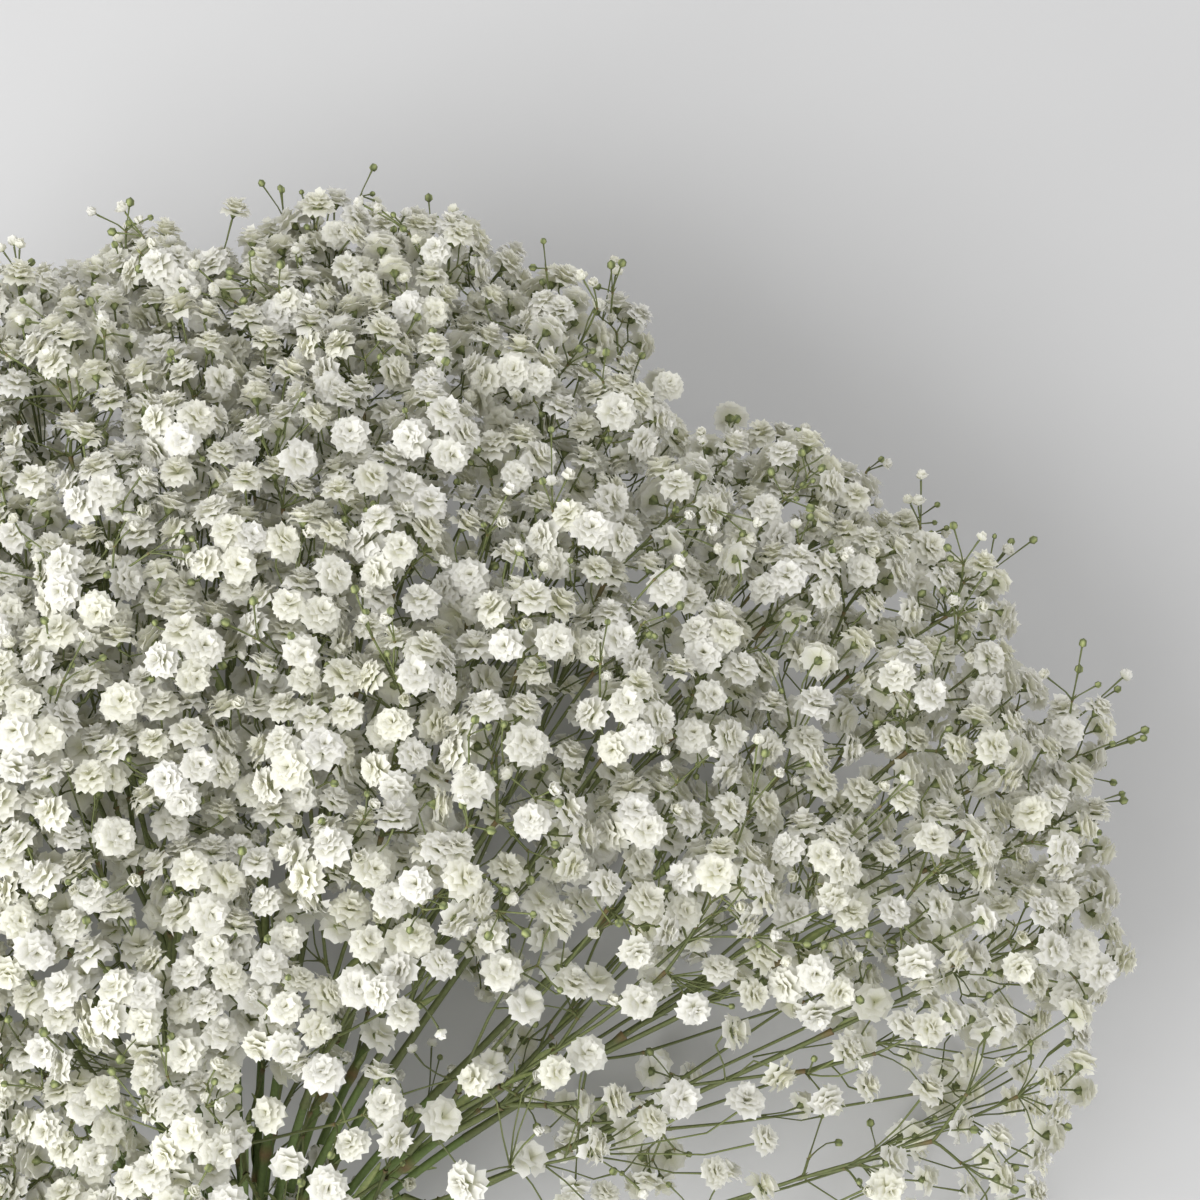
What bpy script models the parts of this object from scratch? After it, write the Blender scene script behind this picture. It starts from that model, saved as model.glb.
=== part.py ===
"""A tied bunch of cut gypsophila stems with double white blooms, lying on a table.

Metres, +Z up. The bunch is grown in its own axes: right, along (from the tie
towards the blooms) and near (towards the viewer). It is then laid down, so
that it rests on its lower blooms and on the cut ends of its stems.
"""

import math
from dataclasses import dataclass, field

import bmesh
import bpy
import numpy as np

# Driving dimensions
SEED = 11
STEM_RADIUS = 0.00145
STEM_SPACING = 0.0034
TAIL_LENGTH = 0.130
TAIL_FLARE = 0.35
TAIL_TWIST = math.radians(40)
CUT_END_DEPTH = 0.0127
LAY_TILT = math.radians(13)
FAN_HEIGHT = 0.050
CROWN_REACH = 0.075
HEAD_RADIUS = 0.058
TABLE_CLEARANCE = 0.009
BLOOM_GAP = 0.0004
BRANCH_GAP = 0.0009
WEDGE_MARGIN = 0.003
SMALLEST_BLOOM = 0.0070
SETTLING_ROUNDS = 12
TIE_HEIGHT = 0.010
TIE_THICKNESS = 0.0020
TIE_GAP = 0.0003
FAN_START = TIE_HEIGHT / 2 + 0.001

# The blooms in the order in which they are placed: their radius, how deep in the
# cloud they stand, as shares of its reach, and the number of tries
BLOOM_LAYERS = (
    (0.0130, 0.97, 1.00, 14000),
    (0.0112, 0.93, 1.00, 14000),
    (0.0120, 0.80, 0.92, 7000),
    (0.0094, 0.92, 1.00, 14000),
    (0.0110, 0.52, 0.78, 1500),
)

# The tip of each stem's head, in millimetres right, along and near, measured
# from the tie, and how full the head is: 1 is a dense head, under 0.5 an open one.
HEADS = (
    # the outline that the viewer sees, from the left round to the lower right
    (-185, 118, 5, 0.9),
    (-208, 185, 0, 1.0),
    (-180, 250, 5, 1.0),
    (-135, 305, 0, 1.0),
    (-75, 340, -5, 1.0),
    (-14, 352, 0, 1.0),
    (50, 376, -12, 0.9),
    (108, 326, 5, 1.0),
    (160, 290, 5, 1.0),
    (212, 266, 0, 1.0),
    (260, 226, 0, 1.0),
    (250, 156, -5, 1.0),
    (218, 104, 12, 0.3),
    # the near side
    (-42, 285, 72, 1.0),
    (42, 288, 78, 1.0),
    (112, 248, 78, 1.0),
    (178, 196, 68, 1.0),
    (-112, 236, 75, 1.0),
    (-32, 212, 108, 1.0),
    (56, 208, 110, 1.0),
    (128, 170, 92, 1.0),
    (-104, 158, 92, 1.0),
    (12, 142, 98, 0.9),
    (82, 110, 76, 0.35),
    (-56, 108, 80, 0.8),
    # the side that lies on the table
    (4, 268, -86, 0.9),
    (92, 236, -82, 0.9),
    (-92, 236, -82, 0.9),
    (160, 165, -64, 0.9),
    (-140, 165, -64, 0.9),
)

MM = 0.001
APEX = np.array((0.0, FAN_HEIGHT, 0.0))
UP = np.array((0.0, 1.0, 0.0))


# Where each stem stands in the bunch


def unit(vector):
    return vector / np.linalg.norm(vector)


def tie_slots(count):
    """The stems' places at the tie: the points of a close-packed pattern nearest its middle."""
    points = []
    for row in range(-4, 5):
        for step in range(-4, 5):
            points.append((step + row / 2, row * math.sqrt(3) / 2))
    points.sort(key=lambda p: (round(math.hypot(*p), 4), math.atan2(p[1], p[0])))
    return np.array(points[:count]) * STEM_SPACING


def match_slots(slots, leans):
    """Swaps slots until no two stems have to pass through each other as they fan out."""
    slots = slots.copy()
    swapped = True
    while swapped:
        swapped = False
        for i in range(len(slots)):
            for j in range(i):
                if (slots[i] - slots[j]) @ (leans[i] - leans[j]) < -1e-12:
                    slots[[i, j]] = slots[[j, i]]
                    swapped = True
    return slots


def tail_point(slot, along):
    """A point of a stem below the tie, where the bunch flares and twists a little."""
    share = along / TAIL_LENGTH
    angle = TAIL_TWIST * share
    turned = np.array(
        (
            slot[0] * math.cos(angle) - slot[1] * math.sin(angle),
            slot[0] * math.sin(angle) + slot[1] * math.cos(angle),
        )
    )
    turned *= 1 + TAIL_FLARE * share**2
    return np.array((turned[0], along, turned[1]))


def fan_point(slot, aim, share):
    """A point of a stem between the top of the tie (share 0) and the foot of its crown (share 1)."""
    controls = (
        np.array((slot[0], FAN_START, slot[1])),
        np.array((slot[0], 0.045, slot[1])),
        APEX + aim * CROWN_REACH * 0.40,
        APEX + aim * CROWN_REACH,
    )
    left = 1 - share
    weights = (left**3, 3 * left**2 * share, 3 * left * share**2, share**3)
    return sum(weight * control for weight, control in zip(weights, controls))


def stem_line(slot, aim):
    """The stem's centreline from its cut end to the foot of its crown."""
    tail = [tail_point(slot, -TAIL_LENGTH * share) for share in (1.0, 0.66, 0.33)]
    fan = [fan_point(slot, aim, share) for share in (0.0, 0.22, 0.44, 0.63, 0.82, 1.0)]
    return tail + fan


# Where the blooms stand


@dataclass
class Bloom:
    """One full bloom: the middle of its rosette, its radius and the stem that bears it."""

    place: np.ndarray
    radius: float
    stem: int


def table_height(points):
    """How high points of the bunch's own axes lie over the table."""
    lift = TAIL_LENGTH * math.sin(LAY_TILT) + CUT_END_DEPTH * math.cos(LAY_TILT)
    return points[..., 1] * math.sin(LAY_TILT) + points[..., 2] * math.cos(LAY_TILT) + lift


def cloud_reach(ways, aims, reaches):
    """How far the cloud of blooms reaches from the apex of the fan along each unit vector."""
    near = np.exp(-((np.arccos(np.clip(ways @ aims.T, -1, 1)) / math.radians(13)) ** 2))
    smooth = (near @ reaches) / near.sum(axis=1)
    return smooth * (0.94 + 0.08 * near.max(axis=1))


def scatter_blooms(aims, reaches, fullness):
    """Scatters blooms over the shell of the cloud, the big ones first, none touching another.

    Each belongs to the stem whose aim is nearest. Those wedges of space are convex, so the
    branches of one stem, which run between places of its own wedge, keep clear of the rest.
    """
    rng = np.random.default_rng(SEED)
    helper = np.array((0.3, 0.2, 0.93))
    sides = np.cross(aims, helper)
    sides /= np.linalg.norm(sides, axis=1)[:, None]
    others = np.cross(aims, sides)
    blooms = []
    taken = np.empty((0, 3))
    sizes = np.empty(0)
    for radius, low, high, tries in BLOOM_LAYERS:
        head = rng.integers(len(aims), size=tries)
        off = HEAD_RADIUS * np.sqrt(rng.random(tries))
        turn = rng.random(tries) * 2 * math.pi
        sideways = np.cos(turn)[:, None] * sides[head] + np.sin(turn)[:, None] * others[head]
        ways = aims[head] * reaches[head, None] * 0.85 + off[:, None] * sideways
        ways /= np.linalg.norm(ways, axis=1)[:, None]
        depth = low + (high - low) * rng.random(tries)
        tops = cloud_reach(ways, aims, reaches)
        places = APEX + ways * (tops * depth - radius * 0.6)[:, None]
        closeness = ways @ aims.T
        stems = closeness.argmax(axis=1)
        wanted = rng.random(tries) < fullness[stems]
        for k in range(tries):
            place, stem = places[k], stems[k]
            if not wanted[k] or table_height(place) < TABLE_CLEARANCE:
                continue
            if wall_room(place, stem, aims) < WEDGE_MARGIN:
                continue
            room = 1 + 1.2 * (1 - fullness[stem])
            gaps = np.linalg.norm(taken - place, axis=1) - sizes
            if len(gaps) and gaps.min() < radius * room + BLOOM_GAP:
                continue
            taken = np.vstack((taken, place))
            sizes = np.append(sizes, radius)
            blooms.append(Bloom(place, radius, int(stem)))
    return blooms


# How a crown forks


@dataclass
class Joint:
    """A place where a branch forks or ends in a bloom."""

    place: np.ndarray
    radius: float
    bloom: Bloom = None
    shoots: list = field(default_factory=list)


def split_places(start, places):
    """Divides the blooms of a branch among two or three shoots, by where they stand."""
    offsets = places - start
    way = unit(offsets.mean(axis=0))
    flat = offsets - np.outer(offsets @ way, way)
    spread = flat - flat.mean(axis=0)
    across = np.linalg.svd(spread, full_matrices=False)[2][0]
    order = np.argsort(spread @ across)
    parts = 3 if len(places) >= 6 and len(places) % 2 == 0 else 2
    return np.array_split(order, parts)


def grow(start, blooms, radius):
    """Joints from a start to every bloom, forking on the way as gypsophila does."""
    if len(blooms) == 1:
        return Joint(blooms[0].place, radius, blooms[0])
    places = np.array([bloom.place for bloom in blooms])
    run = places.mean(axis=0) - start
    length = np.linalg.norm(run)
    way = run / length
    offsets = places - start
    ahead = offsets @ way
    width = np.linalg.norm(offsets - np.outer(ahead, way), axis=1).max()
    step = max(min(length - 0.95 * width, ahead.min() - 0.45 * width), 0.18 * length)
    fork = Joint(start + way * step, radius)
    for part in split_places(fork.place, places):
        thinner = max(radius * (0.72 if len(part) > 2 else 0.62), 0.00048)
        fork.shoots.append(grow(fork.place, [blooms[k] for k in part], thinner))
    return fork


def branches(start, joint):
    """Every branch from a start onwards: its two ends, its radius and the bloom it bears."""
    yield start, joint.place, joint.radius, joint.bloom
    for shoot in joint.shoots:
        yield from branches(joint.place, shoot)


def room_beside(blooms, runs):
    """For each bloom, the room that the nearest branch of others leaves it, and the way from there."""
    centres = np.array([bloom.place for bloom in blooms])
    starts = np.array([run[0] for run in runs])
    ends = np.array([run[1] for run in runs])
    radii = np.array([run[2] for run in runs])
    along = ends - starts
    offsets = centres[:, None] - starts
    share = np.einsum("ijk,jk->ij", offsets, along) / np.einsum("jk,jk->j", along, along)
    away = offsets - np.clip(share, 0, 1)[..., None] * along
    nearest = np.linalg.norm(away, axis=2) - radii
    bearers = {id(run[3]): k for k, run in enumerate(runs) if run[3] is not None}
    for k, bloom in enumerate(blooms):
        nearest[k, bearers[id(bloom)]] = np.inf
    which = nearest.argmin(axis=1)
    rows = np.arange(len(blooms))
    return nearest[rows, which] - BRANCH_GAP, away[rows, which]


def wall_room(place, stem, aims):
    """How far a place lies inside the wedge of its stem."""
    rivals = aims[stem] - np.delete(aims, stem, axis=0)
    return (rivals @ (place - APEX) / np.linalg.norm(rivals, axis=1)).min()


def step_aside(blooms, room, away, aims):
    """Moves each bloom that a branch would run through a little off it, where that is free."""
    centres = np.array([bloom.place for bloom in blooms])
    radii = np.array([bloom.radius for bloom in blooms])
    for k, bloom in enumerate(blooms):
        lack = bloom.radius - room[k]
        if lack <= 0:
            continue
        place = bloom.place + unit(away[k]) * min(lack, 0.004)
        gaps = np.linalg.norm(centres - place, axis=1) - radii - bloom.radius - BLOOM_GAP
        gaps[k] = 1
        free = gaps.min() > 0 and table_height(place) > TABLE_CLEARANCE
        if free and wall_room(place, bloom.stem, aims) > WEDGE_MARGIN:
            bloom.place = place
            centres[k] = place


def grow_crowns(blooms, lines):
    """The crown of each stem, and the list of all branches and fanned stems."""
    crowns = []
    runs = []
    for k, line in enumerate(lines):
        mine = [bloom for bloom in blooms if bloom.stem == k]
        crowns.append(grow(line[-1], mine, STEM_RADIUS * 0.72))
        runs += [(a, b, STEM_RADIUS, None) for a, b in zip(line[2:], line[3:])]
        runs += list(branches(line[-1], crowns[-1]))
    return crowns, runs


def grow_bunch(aims, reaches, fullness, lines):
    """The crowns of all stems. Blooms give way to branches: they move, shrink or are left out."""
    blooms = scatter_blooms(aims, reaches, fullness)
    for _ in range(SETTLING_ROUNDS):
        crowns, runs = grow_crowns(blooms, lines)
        room, away = room_beside(blooms, runs)
        step_aside(blooms, room, away, aims)
    while True:
        crowns, runs = grow_crowns(blooms, lines)
        room, away = room_beside(blooms, runs)
        kept = [bloom for bloom, free in zip(blooms, room) if free >= SMALLEST_BLOOM]
        if len(kept) == len(blooms):
            break
        blooms = kept
    for bloom, free in zip(blooms, room):
        bloom.radius = min(bloom.radius, free)
    return crowns


# Solid shapes


class Skin:
    """Points and triangles of one closed solid."""

    def __init__(self):
        self.points = []
        self.faces = []

    def add(self, point):
        self.points.append(np.asarray(point, float))
        return len(self.points) - 1

    def ring(self, centre, way, radius, sides, lead):
        """A ring of points round a line, anticlockwise seen from its far end; lead is the first one's side."""
        first = lead - (lead @ way) * way
        if np.linalg.norm(first) < 1e-6:
            first = np.cross(way, (0.31, 0.53, 0.79))
        first = unit(first)
        second = np.cross(way, first)
        ring = []
        for k in range(sides):
            angle = 2 * math.pi * k / sides
            ring.append(
                self.add(centre + radius * (math.cos(angle) * first + math.sin(angle) * second))
            )
        return ring

    def bridge(self, lower, upper, way):
        """Joins two rings that may have different numbers of points."""
        low = np.array([self.points[k] for k in lower])
        top = np.array([self.points[k] for k in upper])
        lead = unit(np.cross(way, (0.31, 0.53, 0.79)))
        third = np.cross(way, lead)

        def angles(ring):
            arms = ring - ring.mean(axis=0)
            return np.arctan2(arms @ third, arms @ lead)

        low_angles, top_angles = angles(low), angles(top)
        gaps = (top_angles - low_angles[0] + math.pi) % (2 * math.pi) - math.pi
        offset = int(np.argmin(np.abs(gaps)))
        n, m = len(lower), len(upper)
        upper = [upper[(offset + k) % m] for k in range(m)]
        top_angles = np.roll(top_angles, -offset)
        low_turn = [(low_angles[k % n] - low_angles[0]) % (2 * math.pi) for k in range(n)]
        base = gaps[offset]
        top_turn = [base + (top_angles[k % m] - top_angles[0]) % (2 * math.pi) for k in range(m)]
        low_turn.append(2 * math.pi)
        top_turn.append(base + 2 * math.pi)
        i = j = 0
        while i < n or j < m:
            if j == m or (i < n and low_turn[i + 1] <= top_turn[j + 1]):
                self.faces.append((lower[i], lower[(i + 1) % n], upper[j % m]))
                i += 1
            else:
                self.faces.append((lower[i % n], upper[(j + 1) % m], upper[j]))
                j += 1

    def fan(self, ring, tip, outward=True):
        """Closes a ring with triangles that meet in one point."""
        for k in range(len(ring)):
            a, b = ring[k], ring[(k + 1) % len(ring)]
            self.faces.append((a, b, tip) if outward else (b, a, tip))

    def add_bloom(self, ring, centre, way, radius):
        """A double rosette: five outer petals that spread and five inner ones that stand up."""
        lead = self.points[ring[0]] - centre
        rim = self.ring(centre, way, radius, 10, lead)
        for k, point in enumerate(rim):
            arm = self.points[point] - centre
            if k % 2:
                self.points[point] = centre + 0.60 * arm + 0.60 * radius * way
            else:
                self.points[point] = centre + 0.97 * arm - 0.10 * radius * way
        self.bridge(ring, rim, way)
        self.fan(rim, self.add(centre + 0.38 * radius * way))

    def add_shoot(self, ring, start, joint):
        """The branch from a ring to a joint, and all that grows on from there."""
        way = unit(joint.place - start)
        if not joint.shoots:
            neck = joint.place - 0.60 * joint.bloom.radius * way
            lead = self.points[ring[0]] - start
            calyx = self.ring(neck, way, 0.0011, 3, lead)
            self.bridge(ring, calyx, way)
            self.add_bloom(calyx, joint.place, way, joint.bloom.radius)
            return
        shoot_ways = [unit(shoot.place - joint.place) for shoot in joint.shoots]
        sides = [w - (w @ way) * way for w in shoot_ways]
        if len(sides) == 2:
            mid = np.cross(way, sides[0] - sides[1])
            leads = [unit(mid)]
        else:
            leads = [unit(side) for side in sides if np.linalg.norm(side) > 1e-6]
        best = None
        for lead in leads:
            for turn in (0.0, math.pi / 3):
                turned = lead * math.cos(turn) + np.cross(way, lead) * math.sin(turn)
                corners = [
                    turned * math.cos(k * 2 * math.pi / 3)
                    + np.cross(way, turned) * math.sin(k * 2 * math.pi / 3)
                    for k in range(3)
                ]
                middles = [unit(corners[k] + corners[(k + 1) % 3]) for k in range(3)]
                score, choice = best_faces(middles, sides)
                if best is None or score > best[0]:
                    best = (score, choice, turned)
        _, choice, lead = best
        corner = self.ring(joint.place, way, joint.radius, 3, lead)
        self.bridge(ring, corner, way)
        crotch = self.add(joint.place + 1.0 * joint.radius * way)
        for k in range(3):
            base = (corner[k], corner[(k + 1) % 3], crotch)
            if k in choice:
                shoot = joint.shoots[choice.index(k)]
                self.add_shoot(list(base), joint.place, shoot)
            else:
                self.faces.append(base)

    def to_object(self, name, material):
        mesh = bpy.data.meshes.new(name)
        mesh.from_pydata([tuple(p) for p in self.points], [], self.faces)
        mesh.materials.append(material)
        mesh.update()
        obj = bpy.data.objects.new(name, mesh)
        bpy.context.scene.collection.objects.link(obj)
        return obj


def best_faces(middles, sides):
    """Gives each shoot one of a fork's three faces, so that shoots leave by the face nearest their way."""
    best = None
    for a in range(3):
        for b in range(3):
            if b == a:
                continue
            choices = [(a, b)] if len(sides) == 2 else [(a, b, 3 - a - b)]
            for choice in choices:
                score = sum(middles[k] @ side for k, side in zip(choice, sides))
                if best is None or score > best[0]:
                    best = (score, choice)
    return best


def lay_down(point):
    """From the bunch's own axes (right, along, near) to the table's (X, Y, Z)."""
    tilt_cos, tilt_sin = math.cos(LAY_TILT), math.sin(LAY_TILT)
    return np.array(
        (
            point[0],
            point[1] * tilt_cos - point[2] * tilt_sin,
            table_height(point),
        )
    )


def make_spray(name, line, crown, material):
    """One cut stem with all that grew on it, as one solid."""
    skin = Skin()
    lower = None
    for k, centre in enumerate(line):
        before = line[max(k - 1, 0)]
        after = line[k + 1] if k + 1 < len(line) else crown.place
        way = unit(after - before)
        radius = STEM_RADIUS * (1.08 - 0.22 * k / (len(line) - 1))
        ring = skin.ring(centre, way, radius, 5, np.array((1.0, 0.0, 0.2)))
        if lower is None:
            skin.fan(ring, skin.add(centre), outward=False)
        else:
            skin.bridge(lower, ring, way)
        lower = ring
    skin.add_shoot(lower, line[-1], crown)
    for k, point in enumerate(skin.points):
        skin.points[k] = lay_down(point)
        skin.points[k][2] = max(skin.points[k][2], 0.0)
    return skin.to_object(name, material)


def make_tie(slots, material):
    """Five turns of raffia drawn tight round the stems, with a flat knot on the near side."""
    inner = np.linalg.norm(slots, axis=1).max() + STEM_RADIUS + TIE_GAP
    turns = 5
    outline = [(inner, -TIE_HEIGHT / 2), (inner, TIE_HEIGHT / 2)]
    for k in range(2 * turns + 1):
        along = TIE_HEIGHT * (0.5 - k / (2 * turns))
        thickness = TIE_THICKNESS * (1.0 if k % 2 else 0.62)
        outline.append((inner + thickness, along))
    segments = 20
    skin = Skin()
    loops = []
    for s in range(segments):
        angle = 2 * math.pi * s / segments
        loops.append(
            [
                skin.add(lay_down(np.array((r * math.cos(angle), a, r * math.sin(angle)))))
                for r, a in outline
            ]
        )
    for s in range(segments):
        here, there = loops[s], loops[(s + 1) % segments]
        for k in range(len(outline)):
            k2 = (k + 1) % len(outline)
            skin.faces.append((here[k], there[k], there[k2], here[k2]))
    band = skin.to_object("tie", material)
    knot = bmesh.new()
    bmesh.ops.create_icosphere(knot, subdivisions=1, radius=1.0)
    middle = lay_down(np.array((0.0, 0.0, inner + TIE_THICKNESS * 0.9)))
    for vertex in knot.verts:
        vertex.co.x = middle[0] + vertex.co.x * 0.0044
        vertex.co.y = middle[1] + vertex.co.y * 0.0034
        vertex.co.z = middle[2] + vertex.co.z * 0.0021
    mesh = bpy.data.meshes.new("knot")
    knot.to_mesh(mesh)
    knot.free()
    helper = bpy.data.objects.new("knot", mesh)
    bpy.context.scene.collection.objects.link(helper)
    union = band.modifiers.new("knot", "BOOLEAN")
    union.operation = "UNION"
    union.solver = "EXACT"
    union.object = helper
    apply_modifiers(band)
    bpy.data.objects.remove(helper)
    return band


def apply_modifiers(obj):
    """Replaces an object's mesh by what its modifiers make of it."""
    graph = bpy.context.evaluated_depsgraph_get()
    mesh = bpy.data.meshes.new_from_object(obj.evaluated_get(graph))
    obj.modifiers.clear()
    obj.data = mesh


def make_material(name, colour, roughness):
    material = bpy.data.materials.new(name)
    material.use_nodes = True
    shader = material.node_tree.nodes["Principled BSDF"]
    shader.inputs["Base Color"].default_value = (*colour, 1.0)
    shader.inputs["Roughness"].default_value = roughness
    shader.inputs["Metallic"].default_value = 0.0
    return material


def centre_on_table(objects):
    """Moves the whole bunch, so that the origin is on the table under the middle of its box."""
    low = np.full(3, np.inf)
    high = -low
    for obj in objects:
        points = np.array([vertex.co for vertex in obj.data.vertices])
        low = np.minimum(low, points.min(axis=0))
        high = np.maximum(high, points.max(axis=0))
    shift = -(low + high) / 2
    shift[2] = -low[2]
    for obj in objects:
        for vertex in obj.data.vertices:
            vertex.co = tuple(np.array(vertex.co) + shift)


def main():
    for obj in list(bpy.data.objects):
        bpy.data.objects.remove(obj)
    tips = np.array([head[:3] for head in HEADS]) * MM
    fullness = np.array([head[3] for head in HEADS])
    arms = tips - APEX
    reaches = np.linalg.norm(arms, axis=1)
    aims = arms / reaches[:, None]
    slots = match_slots(tie_slots(len(HEADS)), aims[:, [0, 2]])
    lines = [stem_line(slot, aim) for slot, aim in zip(slots, aims)]
    crowns = grow_bunch(aims, reaches, fullness, lines)
    plant = make_material("plant", (0.80, 0.82, 0.74), 0.75)
    raffia = make_material("raffia", (0.62, 0.50, 0.32), 0.80)
    objects = []
    for k, (line, crown) in enumerate(zip(lines, crowns)):
        objects.append(make_spray(f"spray_{k + 1:02d}", line, crown, plant))
    objects.append(make_tie(slots, raffia))
    centre_on_table(objects)


main()
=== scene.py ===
"""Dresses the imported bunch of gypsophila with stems, blooms, buds and a tie of true size."""

# %% [markdown]
# # A bunch of gypsophila, seen from above
# Gypsophila is a cut flower whose wiry stems fork again and again and end in hundreds of
# small double blooms. A florist ties about thirty of them together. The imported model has
# those thirty forking stems, each with some large stand-in blooms.
# Particles or instances would make such a cloud quickly, but an export loses them. So this
# scene grows the same stems by the same rule, as real mesh, and where a stand-in bloom is,
# it grows the small group of true-size blooms that the stand-in marks.

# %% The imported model
import math
from dataclasses import dataclass, field

import bpy
import numpy as np
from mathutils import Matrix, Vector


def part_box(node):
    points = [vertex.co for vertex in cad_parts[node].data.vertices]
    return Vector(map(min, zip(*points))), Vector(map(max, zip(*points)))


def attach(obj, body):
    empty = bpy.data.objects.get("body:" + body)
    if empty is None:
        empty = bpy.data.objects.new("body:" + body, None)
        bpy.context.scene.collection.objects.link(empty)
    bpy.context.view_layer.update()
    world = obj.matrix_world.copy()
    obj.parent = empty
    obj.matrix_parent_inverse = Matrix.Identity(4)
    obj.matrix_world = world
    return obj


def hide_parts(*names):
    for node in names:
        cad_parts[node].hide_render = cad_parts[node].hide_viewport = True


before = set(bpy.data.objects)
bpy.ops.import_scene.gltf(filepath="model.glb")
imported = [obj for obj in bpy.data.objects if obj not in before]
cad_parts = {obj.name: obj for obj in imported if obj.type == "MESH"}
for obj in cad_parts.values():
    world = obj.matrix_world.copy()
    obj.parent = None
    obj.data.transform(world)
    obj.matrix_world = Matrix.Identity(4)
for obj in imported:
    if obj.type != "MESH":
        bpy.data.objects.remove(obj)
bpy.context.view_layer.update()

# %% [markdown]
# ## The growth rule's dimensions
# The stems of a real bunch are about 3 mm thick and lie pressed together in the tie. The
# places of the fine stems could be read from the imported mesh, but a fused mesh doesn't say
# where its branches fork. So these values, and the functions of the next steps, are the
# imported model's own, and the fine stems lie exactly where the coarse ones do.

# %% Dimensions of the stems and the tie, in metres
SEED = 11
STEM_RADIUS = 0.00145
STEM_SPACING = 0.0034
TIE_HEIGHT = 0.010
TIE_GAP = 0.0003
TAIL_LENGTH = 0.130
TAIL_FLARE = 0.35
TAIL_TWIST = math.radians(40)
CUT_END_DEPTH = 0.0127
LAY_TILT = math.radians(13)
FAN_START = TIE_HEIGHT / 2 + 0.001
STRAIGHT_UP_TO = 0.045
print(f"stems {2000 * STEM_RADIUS:.1f} mm thick, {1000 * STEM_SPACING:.1f} mm apart at the tie")

# %% Dimensions of the cloud, in metres
FAN_HEIGHT = 0.050
CROWN_REACH = 0.075
CROWN_BEND = 0.40
HEAD_RADIUS = 0.058
HEAD_SPREAD = math.radians(13)
TABLE_CLEARANCE = 0.009
BLOOM_GAP = 0.0004
BRANCH_GAP = 0.0009
WEDGE_MARGIN = 0.003
SMALLEST_BLOOM = 0.0070
SETTLING_ROUNDS = 12

# Radius, how deep in the cloud as shares of its reach, and the number of tries
BLOOM_LAYERS = (
    (0.0130, 0.97, 1.00, 14000),
    (0.0112, 0.93, 1.00, 14000),
    (0.0120, 0.80, 0.92, 7000),
    (0.0094, 0.92, 1.00, 14000),
    (0.0110, 0.52, 0.78, 1500),
)
print("tries to place a stand-in bloom:", sum(layer[3] for layer in BLOOM_LAYERS))

# %% The tip of each stem's head
# In millimetres right, along and near, and how full of blooms it is
HEADS = (
    # the outline that the viewer sees, from the left round to the lower right
    (-185, 118, 5, 0.9),
    (-208, 185, 0, 1.0),
    (-180, 250, 5, 1.0),
    (-135, 305, 0, 1.0),
    (-75, 340, -5, 1.0),
    (-14, 352, 0, 1.0),
    (50, 376, -12, 0.9),
    (108, 326, 5, 1.0),
    (160, 290, 5, 1.0),
    (212, 266, 0, 1.0),
    (260, 226, 0, 1.0),
    (250, 156, -5, 1.0),
    (218, 104, 12, 0.3),
    # the near side
    (-42, 285, 72, 1.0),
    (42, 288, 78, 1.0),
    (112, 248, 78, 1.0),
    (178, 196, 68, 1.0),
    (-112, 236, 75, 1.0),
    (-32, 212, 108, 1.0),
    (56, 208, 110, 1.0),
    (128, 170, 92, 1.0),
    (-104, 158, 92, 1.0),
    (12, 142, 98, 0.9),
    (82, 110, 76, 0.35),
    (-56, 108, 80, 0.8),
    # the side that lies on the table
    (4, 268, -86, 0.9),
    (92, 236, -82, 0.9),
    (-92, 236, -82, 0.9),
    (160, 165, -64, 0.9),
    (-140, 165, -64, 0.9),
)

MM = 0.001
APEX = np.array((0.0, FAN_HEIGHT, 0.0))
print("heads:", len(HEADS))

# %% [markdown]
# ## Stems
# A stem is straight in the tail, held by its neighbours in the tie, and bends out to its own
# head above it. Thirty curves drawn by hand would cross somewhere. Here each stem gets the
# place in the tie that suits its way out, so that no two pass through each other, and its
# line is a short tail with a twist and then a Bezier curve.


# %% Where the stems stand in the tie
def unit(vector):
    return vector / np.linalg.norm(vector)


def tie_slots(count):
    """The stems' places at the tie: the points of a close-packed pattern nearest its middle."""
    points = []
    for row in range(-4, 5):
        for step in range(-4, 5):
            points.append((step + row / 2, row * math.sqrt(3) / 2))
    points.sort(key=lambda p: (round(math.hypot(*p), 4), math.atan2(p[1], p[0])))
    return np.array(points[:count]) * STEM_SPACING


def match_slots(slots, leans):
    """Swaps slots until no two stems have to pass through each other as they fan out."""
    slots = slots.copy()
    swapped = True
    while swapped:
        swapped = False
        for i in range(len(slots)):
            for j in range(i):
                if (slots[i] - slots[j]) @ (leans[i] - leans[j]) < -1e-12:
                    slots[[i, j]] = slots[[j, i]]
                    swapped = True
    return slots


tie_width = np.ptp(tie_slots(len(HEADS))[:, 0]) + 2 * STEM_RADIUS
print(f"the stems are {1000 * tie_width:.0f} mm wide at the tie")


# %% The line of a stem
def tail_point(slot, along):
    """A point of a stem below the tie, where the bunch flares and twists a little."""
    share = along / TAIL_LENGTH
    angle = TAIL_TWIST * share
    turned = np.array(
        (
            slot[0] * math.cos(angle) - slot[1] * math.sin(angle),
            slot[0] * math.sin(angle) + slot[1] * math.cos(angle),
        )
    )
    turned *= 1 + TAIL_FLARE * share**2
    return np.array((turned[0], along, turned[1]))


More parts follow.
